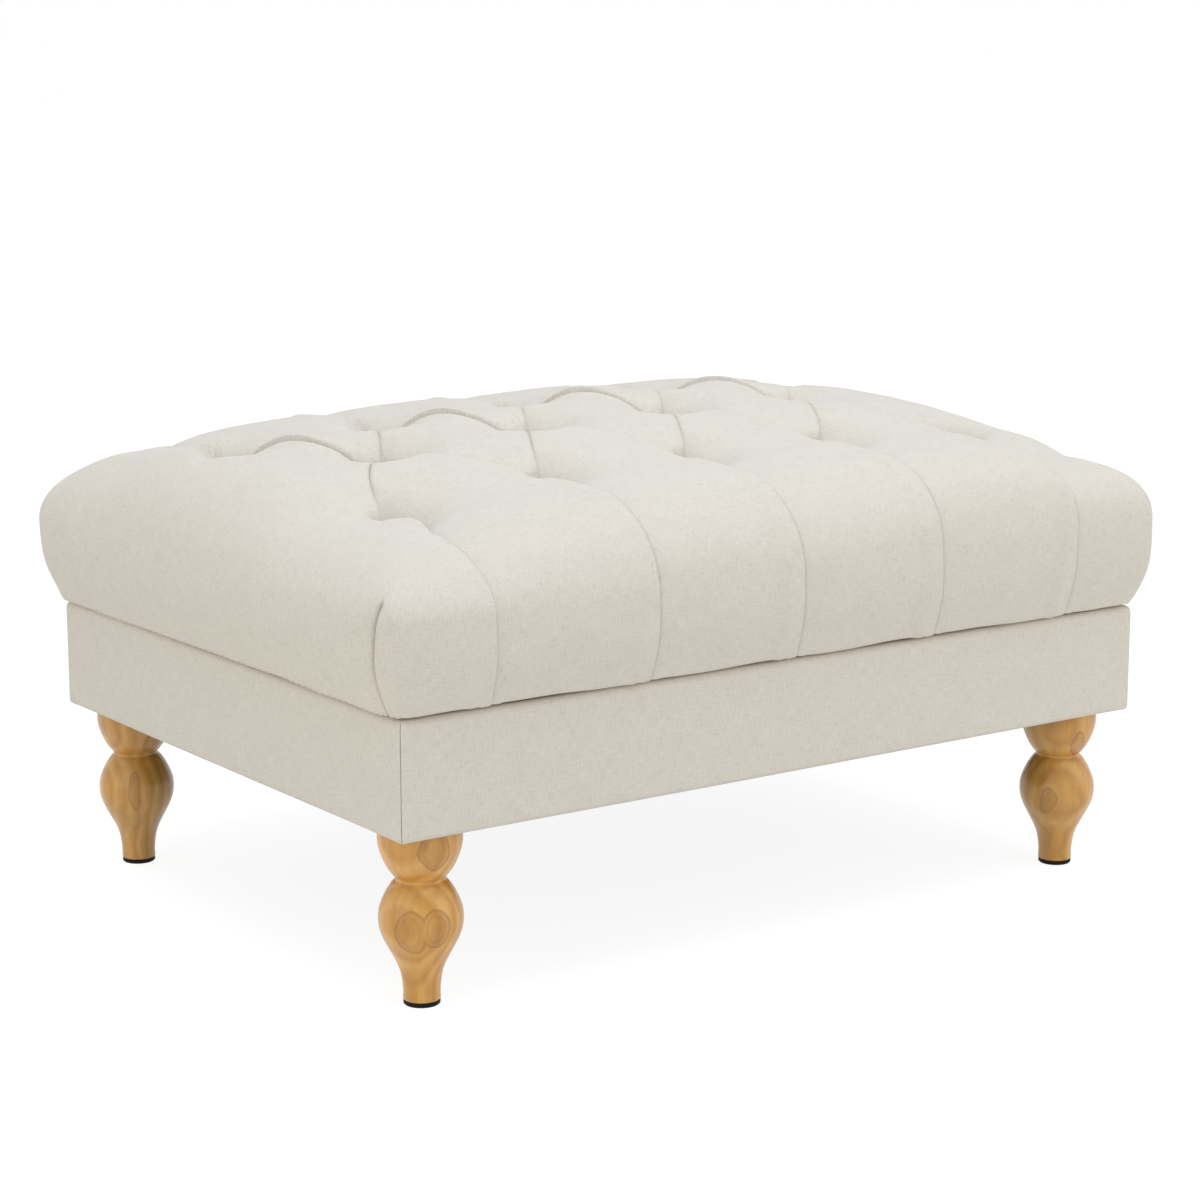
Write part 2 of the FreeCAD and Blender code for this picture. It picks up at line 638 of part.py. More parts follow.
def pillow(name, shrink, foot_x, foot_y, foot_level, top, shoulder, corner):
    """The space inside three sections: along the pouf, across it and in plan."""
    belly_x = "(place.belly_x - " + shrink + ")"
    belly_y = "(place.belly_y - " + shrink + ")"
    sections = [
        pillow_section(name + "_along", "XZ_Plane", foot_x, foot_level, belly_x, top + " + size.end_rise",
                       shoulder, "4 * place.belly_y"),
        pillow_section(name + "_across", "YZ_Plane", foot_y, foot_level, belly_y, top,
                       shoulder, "4 * place.belly_x"),
        rounded_plan(name + "_plan", belly_x, belly_y, corner, "4 * place.crown"),
    ]
    whole = doc.addObject("Part::MultiCommon", name)
    whole.Shapes = sections
    return whole


# Seat board with a hole for each twine
board = rounded_plan("board_blank", "place.board_half_x", "place.board_half_y", "size.board_corner",
                     "size.board_thickness")
put(board, z="place.board_floor + size.board_thickness / 2")
board_holes = group("board_holes", tuft_columns(size.get("twine_hole_radius"),
                                                place.board_floor - size.get("board_thickness"),
                                                place.board_top + size.get("board_thickness")))
keep(less("seat_board_cut", board, board_holes, seat_screws, seat_staples), "seat_board")

# Seat foam: crowned, with a hole for each tuft
foam_top = "place.crown - size.wadding_top"
foam_shoulder = "(size.shoulder_round - size.wadding_top)"
foam = pillow("foam_blank", "size.wadding_side", "place.board_half_x", "place.board_half_y", "place.board_top",
              foam_top, foam_shoulder, "(size.cushion_corner - size.wadding_side)")
foam_holes = group("foam_holes", tuft_columns(size.get("foam_hole_radius"), place.leg_top, 2 * place.crown))
keep(less("seat_foam_cut", foam, foam_holes), "seat_foam")


def crown_level(x, y):
    """The level of the cushion's untufted top at a place in plan."""
    levels = []
    for at, belly, top in (
        (x, place.belly_x, place.crown + size.get("end_rise")),
        (y, place.belly_y, place.crown),
    ):
        shoulder = size.get("shoulder_round")
        lift = (top - place.belly_level - shoulder) / (belly - shoulder)
        lean = 2 * lift / (1 + lift ** 2)
        radius = (belly - shoulder) / lean + shoulder
        levels.append(top - radius + math.sqrt(radius ** 2 - at ** 2))
    return min(levels)


def notch(centre, arm, radius, ridge, start, sweep, section):
    """A groove round an arc: its section turned about ridge through centre.

    arm is the way from the centre to the arc's start, and section gives the groove's points as
    sideways and outward offsets from the arc.
    """
    out = FreeCAD.Rotation(ridge, start).multVec(arm)
    points = [centre + out * (radius + outward) + ridge * sideways for sideways, outward in section]
    face = Part.Face(Part.makePolygon(points + points[:1]))
    return face.revolve(centre, ridge, sweep)


# Tufts: a round pit on each, and a fold along each diagonal from the front row to the back row
SHALLOW = 0.36
THROAT = 0.25
OVER = 3
pits = []
for x, y in TUFTS:
    top = crown_level(x, y) + OVER
    floor = place.tuft_level
    narrow = size.get("tuft_floor_radius")
    mouth = size.get("tuft_mouth_radius")
    points = [
        Vector(x, y, floor),
        Vector(x + narrow, y, floor),
        Vector(x + narrow + (mouth - narrow) * THROAT, y, top - size.get("wadding_top")),
        Vector(x + mouth, y, top),
        Vector(x, y, top),
    ]
    face = Part.Face(Part.makePolygon(points + points[:1]))
    pits.append(face.revolve(Vector(x, y, 0), UP, FULL_TURN))

half_fold = size.get("fold_half_width")
deep_fold = size.get("fold_depth")
FOLD_SECTION = [
    (0, -deep_fold),
    (half_fold * SHALLOW, -deep_fold * SHALLOW),
    (half_fold, OVER),
    (-half_fold, OVER),
    (-half_fold * SHALLOW, -deep_fold * SHALLOW),
]
folds = []
for x in MIDDLE_ROW:
    for lean in (-1, 1):
        way = Vector(lean * PITCH_X / 2, PITCH_Y, 0)
        front = Vector(x, 0, 0) - way
        back = Vector(x, 0, 0) + way
        ends_level = (crown_level(front.x, front.y) + crown_level(back.x, back.y)) / 2
        tilt = math.degrees(math.atan2(crown_level(back.x, back.y) - crown_level(front.x, front.y),
                                       2 * way.Length))
        sag = crown_level(x, 0) - ends_level
        run = math.hypot(way.Length, math.tan(math.radians(tilt)) * way.Length)
        radius = (run ** 2 + sag ** 2) / (2 * sag)
        along = Vector(way.x, way.y, 0).normalize()
        ridge = along.cross(UP)
        lean_up = FreeCAD.Rotation(ridge, tilt)
        middle = Vector(x, 0, crown_level(x, 0))
        arm = lean_up.multVec(UP)
        centre = middle - arm * radius
        half_angle = math.degrees(math.asin(run / radius))
        folds.append(notch(centre, arm, radius, ridge, -half_angle, 2 * half_angle, FOLD_SECTION))

# Pleats: from each tuft of the outer rows over the shoulder and down the side
half_pleat = size.get("pleat_half_width")
PLEAT_SECTION = [(0, -size.get("pleat_depth")), (half_pleat, OVER), (-half_pleat, OVER)]
shoulder = size.get("shoulder_round")
lift = (place.crown - place.belly_level - shoulder) / (place.belly_y - shoulder)
crown_turn = 2 * math.degrees(math.atan(lift))
crown_radius = (place.belly_y - shoulder) / math.sin(math.radians(crown_turn)) + shoulder
drop = place.belly_level - place.seat_level
side_radius = (drop ** 2 + size.get("cushion_bulge") ** 2) / (2 * size.get("cushion_bulge"))
tuft_turn = math.degrees(math.asin(PITCH_Y / crown_radius))
side_turn = math.degrees(math.asin(drop / side_radius))
pleats = []
for x in OUTER_ROW:
    for side in (-1, 1):
        ridge = Vector(side, 0, 0)
        outward = Vector(0, side, 0)
        level = place.belly_level
        pleats.append(notch(Vector(x, 0, place.crown - crown_radius), UP, crown_radius, ridge * -1,
                            tuft_turn, crown_turn - tuft_turn, PLEAT_SECTION))
        pleats.append(notch(Vector(x, side * (place.belly_y - shoulder), level), outward, shoulder, ridge,
                            0, 90 - crown_turn, PLEAT_SECTION))
        pleats.append(notch(Vector(x, side * (place.belly_y - side_radius), level), outward, side_radius,
                            ridge, -side_turn, side_turn, PLEAT_SECTION))

# Seat cover with its wadding, tufted, and turned in under the board
cover = pillow("cover_blank", "0", "place.half_length", "place.half_width", "place.seat_level",
               "place.crown", "size.shoulder_round", "size.cushion_corner")
core = pillow("core", "(size.wadding_side - size.soft_gap)", "place.board_half_x + size.soft_gap",
              "place.board_half_y + size.soft_gap", "place.board_top", foam_top + " + size.soft_gap",
              foam_shoulder, "(size.cushion_corner - size.wadding_side)")
core_holes = group("core_holes", tuft_columns(size.get("foam_hole_radius") - size.get("soft_gap"),
                                              place.hole_level, 2 * place.crown))
core_left = less("core_left", core, core_holes)
twine_paths = group("twine_paths", tuft_columns(size.get("twine_radius") + size.get("bolt_play"),
                                                place.board_top, place.tuft_level))
board_space = rounded_plan("board_space", "place.board_half_x + size.soft_gap",
                           "place.board_half_y + size.soft_gap", "size.board_corner", "size.board_thickness")
put(board_space, z="place.board_floor + size.board_thickness / 2")
mouth = block("cover_mouth", "size.plinth_length - 2 * size.seat_hem", "size.plinth_width - 2 * size.seat_hem",
              "size.cover_thickness", "size.seat_hem - place.half_length",
              "size.seat_hem - place.half_width", "place.seat_level")
tufting = group("tufting", pits + folds + pleats)
keep(less("tufted_cover_cut", cover, core_left, board_space, mouth, tufting, twine_paths, seat_staples),
     "tufted_cover")

# Buttons, twines with their knots, and washers
button_profile = [
    Vector(0, 0, 0),
    Vector(size.get("button_radius"), 0, 0),
    Vector(size.get("button_radius"), 0, size.get("button_rim")),
]
dome_rise = size.get("button_height") - size.get("button_rim")
dome_radius = (size.get("button_radius") ** 2 + dome_rise ** 2) / (2 * dome_rise)
dome_middle = Vector(size.get("button_radius") / 2, 0, size.get("button_height") - dome_radius
                     + math.sqrt(dome_radius ** 2 - (size.get("button_radius") / 2) ** 2))
button_top = Vector(0, 0, size.get("button_height"))
button_wire = Part.Wire(Part.makePolygon(button_profile).Edges + [
    Part.Arc(button_profile[-1], dome_middle, button_top).toShape(),
    Part.makeLine(button_top, button_profile[0]),
])
button = Part.Face(button_wire).revolve(Vector(0, 0, 0), UP, FULL_TURN)
buttons = []
for x, y in TUFTS:
    one = button.copy()
    one.translate(Vector(x, y, place.tuft_level))
    buttons.append(one)
keep(group("buttons", buttons), "tuft_buttons")
washer_floor = place.board_floor - size.get("washer_thickness")
washers = []
twines = []
twine = size.get("twine_radius")
for x, y in TUFTS:
    disc = cylinder(size.get("washer_radius"), size.get("washer_thickness"), Vector(x, y, washer_floor))
    hole = cylinder(twine + bolt_slack, size.get("washer_thickness"), Vector(x, y, washer_floor))
    washers.append(disc.cut(hole))
    knot_level = washer_floor - size.get("knot_radius")
    strand = cylinder(twine, place.tuft_level - knot_level, Vector(x, y, knot_level))
    knot = Part.makeSphere(size.get("knot_radius"), Vector(x, y, knot_level))
    twines.append(strand.fuse(knot).removeSplitter())
keep(group("washers", washers), "tuft_washers")
keep(group("twines", twines), "tuft_twines")

doc.recompute()

for thing in doc.Objects:
    if "Invalid" in thing.State or "Error" in thing.State:
        raise RuntimeError(thing.Name + " is " + ", ".join(thing.State))
for thing in nodes:
    if thing.Shape.isNull() or not thing.Shape.isValid():
        raise RuntimeError(thing.Label + " has no valid shape")

os.makedirs("parts", exist_ok=True)
for thing in nodes:
    thing.Shape.exportStep("parts/" + thing.Label + ".step")
    box = thing.Shape.BoundBox
    print(thing.Label, len(thing.Shape.Solids), "solids", round(thing.Shape.Volume), "mm3,",
          "z", round(box.ZMin, 2), "to", round(box.ZMax, 2))
print("leg top", round(place.leg_top, 3), "crown", round(place.crown, 3))
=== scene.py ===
"""Tufted pouf: the upholstery, turned legs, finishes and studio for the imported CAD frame.

Lengths in the code are metres, +Z up. The front is the long side at -Y, and the
unrolled cloth is measured along X and Y on the seat and on down each side.
"""
import math
from collections import namedtuple

import bmesh
import bpy
import numpy as np
from mathutils import Matrix, Vector, geometry, kdtree, noise


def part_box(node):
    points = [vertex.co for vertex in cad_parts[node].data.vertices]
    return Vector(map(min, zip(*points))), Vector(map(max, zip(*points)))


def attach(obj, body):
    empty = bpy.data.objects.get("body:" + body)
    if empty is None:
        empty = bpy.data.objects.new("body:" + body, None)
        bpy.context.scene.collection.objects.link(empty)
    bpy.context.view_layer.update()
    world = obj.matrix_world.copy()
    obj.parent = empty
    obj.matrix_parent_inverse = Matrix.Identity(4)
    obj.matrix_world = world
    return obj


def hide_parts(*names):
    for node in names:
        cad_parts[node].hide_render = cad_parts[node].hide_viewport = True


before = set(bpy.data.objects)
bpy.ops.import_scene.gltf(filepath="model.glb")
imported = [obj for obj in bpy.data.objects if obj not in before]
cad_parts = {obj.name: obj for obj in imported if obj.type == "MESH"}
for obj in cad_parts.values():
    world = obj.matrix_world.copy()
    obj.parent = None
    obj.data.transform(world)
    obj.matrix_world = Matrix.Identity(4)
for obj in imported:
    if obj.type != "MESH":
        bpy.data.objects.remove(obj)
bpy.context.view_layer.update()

bl_info = {
    "name": "Tufted pouf",
    "version": (1, 0, 0),
    "blender": (4, 5, 0),
    "location": "View3D > Sidebar > Pouf",
    "description": "Dresses the frame of an upholstered pouf",
    "category": "Object",
}

MM = 0.001
COVER_LOW, COVER_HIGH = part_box("tufted_cover")
SIDES = ("front", "back", "left", "right")
LEGS = ("front_left", "front_right", "back_left", "back_right")


# Colours and nodes

def linear(code):
    """A colour written as an sRGB hex code, as the linear values that nodes take."""
    parts = [int(code[i:i + 2], 16) / 255 for i in (1, 3, 5)]
    return [c / 12.92 if c <= 0.04045 else ((c + 0.055) / 1.055) ** 2.4 for c in parts] + [1.0]


def grey(value):
    return (value, value, value, 1.0)


def new_material(name):
    """A material with no nodes yet, and its node tree."""
    material = bpy.data.materials.new(name)
    material.use_nodes = True
    material.node_tree.nodes.clear()
    return material, material.node_tree


def node(tree, kind, links=None, stops=(), **settings):
    """Adds a shader node with its settings. A socket in links takes a value, another socket
    or another node's first output. stops are the (place, colour) pairs of a colour ramp."""
    made = tree.nodes.new("ShaderNode" + kind)
    for key, value in settings.items():
        setattr(made, key, value)
    for socket, value in (links or {}).items():
        if isinstance(value, bpy.types.Node):
            value = value.outputs[0]
        if isinstance(value, bpy.types.NodeSocket):
            tree.links.new(value, made.inputs[socket])
        else:
            made.inputs[socket].default_value = value
    if stops:
        elements = made.color_ramp.elements
        elements[0].position, elements[0].color = stops[0]
        elements[1].position, elements[1].color = stops[-1]
        for place, colour in stops[1:-1]:
            elements.new(place).color = colour
    return made


# Shape of the cushion, worked out on its unrolled cloth

# Half lengths of the seat inside its rounded edges.
SEAT_X, SEAT_Y = 0.334, 0.234
# How far from the middle the end tufts of the middle row and of the outer rows lie.
MIDDLE_END, OUTER_END = 0.234, 0.312

# The fall of the crown from its highest place, as (place, fall) the long way and across it.
CROWN_ALONG = ((-0.334, 0.029), (-0.234, 0.021), (-0.117, 0.0125), (0.0, 0.0065), (0.117, 0.0045),
               (0.234, 0.0075), (0.334, 0.0188))
CROWN_ACROSS = ((-0.234, 0.033), (-0.19, 0.031), (-0.15, 0.0298), (-0.11, 0.0225), (-0.068, 0.013),
                (0.0, 0.004), (0.068, 0.0), (0.137, 0.008), (0.19, 0.016), (0.234, 0.023))

# The side's outline: from the belly as (out, fall as a share of the whole), then where it
# turns in under the cushion as (out from the plinth's face, height over the lowest line).
SIDE_FALL = ((0.0, 0.0), (-0.0003, 0.18), (-0.0012, 0.36), (-0.0030, 0.50), (-0.0060, 0.63),
             (-0.0098, 0.76), (-0.0130, 0.86))
SIDE_FOOT = ((0.0030, 0.0028), (0.0022, 0.0008), (0.0010, 0.0001), (-0.0010, 0.0003),
             (-0.0040, 0.0005), (-0.0120, 0.0003), (-0.040, 0.0002))
SIDE_ROUNDINGS = 4


def smooth_step(low, high, x):
    """0 at low and before it, 1 at high and past it, in whichever order they lie."""
    t = np.clip((x - low) / (high - low), 0, 1)
    return t * t * (3 - 2 * t)


def bell(x, wide):
    """1 at 0, and next to nothing past twice the width."""
    return np.exp(-(x / wide) ** 2)


def smooth_curve(x, stations):
    """A smooth curve through (place, value) stations, level past both ends."""
    at, value = np.array(stations).T
    slope = np.gradient(value, at)
    x = np.clip(x, at[0], at[-1])
    i = np.clip(np.searchsorted(at, x) - 1, 0, len(at) - 2)
    step = at[i + 1] - at[i]
    t = (x - at[i]) / step
    return ((1 + 2 * t) * (1 - t) ** 2 * value[i] + t * (1 - t) ** 2 * step * slope[i]
            + t * t * (3 - 2 * t) * value[i + 1] + t * t * (t - 1) * step * slope[i + 1])


def gap_to(points, others):
    """How far each point is from the nearest of the others."""
    return np.min(np.hypot(*(points[:, None] - others[None]).transpose(2, 0, 1)), axis=1)


class Shape:
    """The cushion's cloth before any tuft is drawn down.

    A point of the unrolled cloth lies on the seat while it is inside the half lengths,
    and past them it runs down the side.
    """

    def __init__(self, sizes):
        self.sizes = sizes
        self.half = np.array([COVER_HIGH.x, COVER_HIGH.y])
        self.core = self.half - sizes.shoulder
        self.side_s, self.side_out, self.side_z = self.side_line()
        self.depth = sizes.shoulder + self.side_s[-1]
        self.edge_s = self.side_s[np.argmin(self.side_z)]

    def side_line(self):
        """The side below the belly: how far along the cloth, how far out, how high."""
        bulge, belly, foot = self.sizes.bulge, self.sizes.belly, COVER_LOW.z
        rise = belly - foot
        line = [(out, belly - fall * rise) for out, fall in SIDE_FALL]
        line.append((-bulge + 0.0042, belly - 0.93 * rise))
        line = np.array(line + [(-bulge + out, foot + up) for out, up in SIDE_FOOT])
        for _ in range(SIDE_ROUNDINGS):
            cut = np.empty((2 * len(line), 2))
            cut[0], cut[-1] = line[0], line[-1]
            cut[1:-1:2] = 0.75 * line[:-1] + 0.25 * line[1:]
            cut[2:-1:2] = 0.25 * line[:-1] + 0.75 * line[1:]
            line = cut
        along = np.concatenate([[0], np.cumsum(np.hypot(*np.diff(line, axis=0).T))])
        return along, line[:, 0], line[:, 1]

    def crown_at(self, x, y):
        """The height of the seat, which falls off faster to the front and the left."""
        height = self.sizes.crown - np.hypot(smooth_curve(x, CROWN_ALONG), smooth_curve(y, CROWN_ACROSS))
        core_x, core_y = self.core
        # Dents: how far off, how deep, how wide. At each corner, at the right corner in
        # front, and at the left end of the front.
        for off, deep, wide in (((np.abs(x) - core_x, np.abs(y) - core_y), 0.010, 0.055),
                                ((x - core_x, y + core_y), 0.0075, 0.038),
                                ((x + 0.325, y + 0.140), 0.0165, 0.105)):
            height = height - deep * bell(np.hypot(*off), wide)
        return height

    def shoulder_power(self, x, y):
        """How full the rounded edge is: 2 is round, less is a slope, more is boxy."""
        left, right = smooth_step(0.1, -SEAT_X, x), smooth_step(0.0, SEAT_X, x)
        front, back = smooth_step(0.0, -SEAT_Y, y), smooth_step(0.0, SEAT_Y, y)
        return 2.0 - 0.08 * left * front - 0.14 * left * back + 0.68 * right * front

    def corner_power(self, x, y, down):
        """How square the upright corner is: more so below the belly."""
        left, back = smooth_step(0.2, -SEAT_X, x), smooth_step(-0.1, SEAT_Y, y)
        right, front = smooth_step(-0.2, SEAT_X, x), smooth_step(0.1, -SEAT_Y, y)
        below = smooth_step(0.02, 0.07, down - self.sizes.shoulder)
        return self.sizes.corner_squareness + 4.0 * left * back + 2.0 * right * front + 2.5 * below

    def down(self, cloth):
        """How far down the side each point of the unrolled cloth lies, 0 on the seat."""
        return np.maximum(np.abs(cloth) - self.half, 0).sum(1)

    def place(self, cloth):
        """The point in space of each point of the unrolled cloth."""
        core = np.clip(cloth, -self.core, self.core)
        out = np.clip(cloth, -self.half, self.half) - core
        x, y = core.T
        down, rounded = self.down(cloth), self.sizes.shoulder
        square = self.corner_power(x, y, down)
        flat = (np.abs(out) ** square[:, None]).sum(1) ** (1 / square)
        up = np.maximum(rounded - down, 0.0)
        top = self.crown_at(x, y) - self.sizes.belly
        full = self.shoulder_power(x, y)
        reach = ((flat / rounded) ** full + (up / top) ** full) ** (-1 / full)
        low = down > rounded
        below = np.interp(down - rounded, self.side_s, self.side_out)
        reach[low] = ((rounded + below) / np.maximum(flat, 1e-6))[low]
        side = np.interp(down - rounded, self.side_s, self.side_z)
        level = np.where(low, side, self.sizes.belly + reach * up)
        return np.column_stack([core + out * reach[:, None], level])


# Where points lie from a fold: how far along it, how far to its right, how far from it, and
# whether they are beside it and not past an end.
Spot = namedtuple("Spot", "s d gap beside")


class Fold:
    """A fold or pleat of the cover on the unrolled cloth, from a to b, bowed to its right."""

    def __init__(self, a, b, kind, bow=0.0, right=(1, 0)):
        self.a, self.b, self.kind, self.bow = np.array(a, float), np.array(b, float), kind, bow
        self.length = np.hypot(*(self.b - self.a))
        self.along = (self.b - self.a) / self.length
        self.across = np.array([self.along[1], -self.along[0]])
        if self.across @ right < 0:
            self.across = -self.across

    def bend(self, s):
        part = np.clip(s / self.length, 0, 1)
        return 4 * self.bow * part * (1 - part)

    def at(self, s, across=0.0):
        """The point at a distance s along the fold and a distance to its right."""
        return self.a + s[:, None] * self.along + (self.bend(s) + across)[:, None] * self.across

    def measure(self, points):
        """Where the points lie from this fold, as a Spot."""
        off = points - self.a
        s = off @ self.along
        d = off @ self.across - self.bend(s)
        past = np.maximum(np.maximum(-s, s - self.length), 0)
        return Spot(s, d, np.hypot(d, past), past <= 0)


def tuft_places(sizes):
    """The tufts: five, four and five in three rows."""
    step_x, step_y = sizes.tuft_step_x, sizes.tuft_step_y
    middle = [(step_x * (i - 1.5), 0.0) for i in range(4)]
    outer = [(step_x * (i - 2), s * step_y) for s in (-1, 1) for i in range(5)]
    return np.array(middle + outer)


# How far the folds in front are bowed: those from the middle row's tufts to the left, and
# the pleats down the front.
FOLD_BOWS = (-0.0115, -0.003, 0.003, 0.006)
PLEAT_BOWS = (-0.010, -0.006, -0.011, -0.011, -0.004)


def fold_lines(sizes, shape):
    """The lines of the cover: diamond folds, pleats down the long sides, corner folds."""
    step_x, step_y = sizes.tuft_step_x, sizes.tuft_step_y
    half_x, half_y = shape.half
    folds = []
    for i, bow in enumerate(FOLD_BOWS):
        x = step_x * (i - 1.5)
        for sx in (-1, 1):
            for sy in (-1, 1):
                end = (x + sx * step_x / 2, sy * step_y)
                folds.append(Fold((x, 0), end, "fold", bow if sx == sy == -1 else 0.0))
    reach = half_y + shape.depth - 0.012
    for i, bow in enumerate(PLEAT_BOWS):
        x = step_x * (i - 2)
        folds.append(Fold((x, -step_y), (x, -reach), "pleat", bow))
        folds.append(Fold((x, step_y), (x, reach), "pleat"))
    # The corners are folded onto the short sides in front and onto the long side behind.
    start, stop, inset = 0.063, shape.depth - 0.036, 0.0185
    for sx in (-1, 1):
        side = [(sx * (half_x + s), inset - half_y) for s in (start, stop)]
        folds.append(Fold(*side, "corner", -0.0125, (0, -1)))
        behind = [(sx * (half_x - inset), half_y + s) for s in (start, stop)]
        folds.append(Fold(*behind, "corner", -0.008, (sx, 0)))
    return folds


# The mesh beside a fold: how far to either side its rows of points lie, and how far they
# keep from its start and from its end.
ROWS = {
    "fold": ((0.0008, 0.0018, 0.0032, 0.0052, 0.0082, 0.0122), 0.0075, 0.0075),
    "pleat": ((0.0008, 0.0018, 0.0032, 0.0052, 0.0082, 0.0122), 0.0075, 0.0),
    "corner": ((0.0008, 0.0018, 0.0035, 0.0065), 0.0, 0.0),
}
ROW_STEP = 0.0038
FINE_ROWS = 4
# Rings of points round each tuft: radius and number of points.
TUFT_RINGS = ((0.0, 1), (0.0035, 7), (0.0055, 10), (0.0075, 13), (0.0095, 16), (0.0118, 20),
              (0.0136, 24), (0.0156, 24), (0.0182, 26), (0.0215, 28))
# How close points may come to another fold's line or row, and to a tuft.
LINE_CLEAR, TUFT_CLEAR, RINGS_CLEAR = 0.0015, 0.0070, 0.022


def cloth_points(sizes, shape, folds, tufts):
    """Points of the unrolled cloth, close together along the folds and round the tufts."""
    pitch = sizes.mesh_step
    chosen, edges = [], []
    for fold in folds:
        spread, start, short = ROWS[fold.kind]
        stop = fold.length - short
        run = stop - start
        steps = max(int(run / ROW_STEP), 2)
        first = sum(len(c) for c in chosen)
        chosen.append(fold.at(np.linspace(start, stop, steps + 1)))
        edges += [(first + i, first + i + 1) for i in range(steps)]
        others = [f for f in folds if f is not fold]
        for n, across in enumerate(spread):
            coarse = 1 if n < FINE_ROWS else 1.5
            count = max(int(run / (ROW_STEP * coarse)), 2)
            s = np.linspace(start, stop, count + 1) + 0.5 * (n % 2) * run / count
            s = s[s <= stop + 1e-6]
            for side in (-1, 1):
                row = fold.at(s, side * across)
                near = np.min([f.measure(row).gap for f in others], axis=0)
                chosen.append(row[(near > across + LINE_CLEAR) & (gap_to(row, tufts) > TUFT_CLEAR)])
    beside_folds = np.concatenate(chosen)
    for radius, count in TUFT_RINGS:
        turn = np.arange(count) * 2 * math.pi / count + radius * 400
        for tuft in tufts:
            ring = tuft + np.stack([np.cos(turn), np.sin(turn)], 1) * radius
            close = beside_folds[np.hypot(*(beside_folds - tuft).T) < 0.03]
            chosen.append(ring[gap_to(ring, close) > LINE_CLEAR])
    reach_x, reach_y = shape.half + shape.depth
    rows = np.arange(-reach_y, reach_y, pitch * math.sqrt(0.75))
    u, v = np.meshgrid(np.arange(-reach_x, reach_x, pitch), rows)
    u = u + (np.arange(len(rows)) % 2)[:, None] * pitch / 2
    fill = np.stack([u.ravel(), v.ravel()], 1)
    fill = fill[in_cross(fill, shape, 0.55 * pitch)]
    near = np.min([f.measure(fill).gap - ROWS[f.kind][0][-1] for f in folds], axis=0)
    chosen.append(fill[(near > 0.62 * pitch) & (gap_to(fill, tufts) > RINGS_CLEAR + 0.6 * pitch)])
    first, border = sum(len(c) for c in chosen), cloth_border(shape, pitch)
    count = len(border)
    edges += [(first + i, first + (i + 1) % count) for i in range(count)]
    return np.concatenate(chosen + [border]), edges


def in_cross(points, shape, margin):
    """True for points inside the cross of seat and sides, margin clear of its border."""
    off = np.abs(points)
    inner, outer = off < shape.half - margin, off < shape.half + shape.depth - margin
    return (inner[:, 0] & outer[:, 1]) | (inner[:, 1] & outer[:, 0]) | (off < shape.half).all(1)


def cloth_border(shape, pitch):
    """The border of the cross, with the same steps on both edges that meet at a corner."""
    half, steps = shape.half, int(shape.depth / pitch)
    down = np.linspace(0, shape.depth, steps + 1)
    out_again = np.concatenate([np.zeros(steps), down[:-1]])
    back_in = np.concatenate([down[::-1][:-1], np.zeros(steps)])
    border = []
    # Each side's outer edge, and then the corner after it.
    for turn, corner in enumerate(((1, -1), (1, 1), (-1, 1), (-1, -1))):
        go, out = turn % 2, 1 - turn % 2
        side = np.linspace(-half[go], half[go], int(2 * half[go] / pitch) + 1)
        side = (side if turn < 2 else side[::-1])[:-1]
        part = np.empty((len(side) + 2 * steps, 2))
        part[:, go] = np.concatenate([side, corner[go] * (half[go] + out_again)])
        outwards = np.concatenate([np.full(len(side), shape.depth), back_in])
        part[:, out] = corner[out] * (half[out] + outwards)
        border.append(part)
    return np.concatenate(border)


def triangles(points, edges, shape):
    """Joins the cloth's points into triangles that follow the folds."""
    made = geometry.delaunay_2d_cdt([Vector(p) for p in points], edges, [], 0, 1e-6)
    places, faces = np.array([tuple(p) for p in made[0]]), np.array(made[2])
    return places, faces[in_cross(places[faces].mean(1), shape, 0.0)]


def right_of(tuft, points, folds):
    """How far the points lie inside the sector on the tuft's right, between two folds."""
    inside = np.full(len(points), 1.0)
    for fold in folds:
        for here, there in ((fold.a, fold.b), (fold.b, fold.a)):
            if fold.kind != "corner" and np.hypot(*(here - tuft)) < MM and there[0] > tuft[0] - MM:
                inside = np.minimum(inside, fold.measure(points).d)
    return inside


def tuft_mouths(points, sizes, folds, tufts):
    """The soft mouths of the tufts, wide on their right and tight against the full puffs
    on their left, and the throats down to the buttons."""
    depth = np.zeros(len(points))
    for tuft in tufts:
        off = points - tuft
        away, turn = np.hypot(*off.T), np.arctan2(off[:, 1], off[:, 0])
        right = smooth_step(-0.0012, 0.0006, right_of(tuft, points, folds))
        # The back tufts are also wide towards the front. At the right end they are less wide.
        front = smooth_step(1.2, 0.7, np.abs(turn + math.pi / 2 + 0.12)) * (tuft[1] > 0.01) * (1 - right)
        rightward = 0.98 if tuft[0] < 0.3 else 0.60
        wide = sizes.tuft_mouth * (0.34 + rightward * right + 1.25 * front)
        ends = 1 - smooth_step(0.045, 0.080, away / (1 + 0.55 * front))
        depth += sizes.tuft_dip * np.exp(-(away / wide) ** 1.7) * ends
        # Fine wrinkles run out of the mouth.
        wrinkles = np.cos(turn * 11 + 5 * np.sin(turn * 2 + tuft[0] * 40))
        depth += 0.0005 * wrinkles * bell(away - 0.022, 0.010)
        lip = smooth_step(1.5, 0.6, np.abs(turn + math.pi / 2)) * (1 - right)
        throat = 0.0058 + 0.0085 * right + 0.0080 * lip
        depth += (sizes.tuft_depth - sizes.tuft_dip) / (1 + (away / throat) ** 7)
    return depth


# What a fold does to the cloth: the (rise, reach) of its soft valley on its left and right,
# the depth of its slit and the slit's half width, how far the upper side slides over the
# slit, which side that is, what the puffs stand out by, and how steep the slit's walls are.
Cut = namedtuple("Cut", "left right slit width slide upper puffs steep", defaults=(-1, (), 1.25))

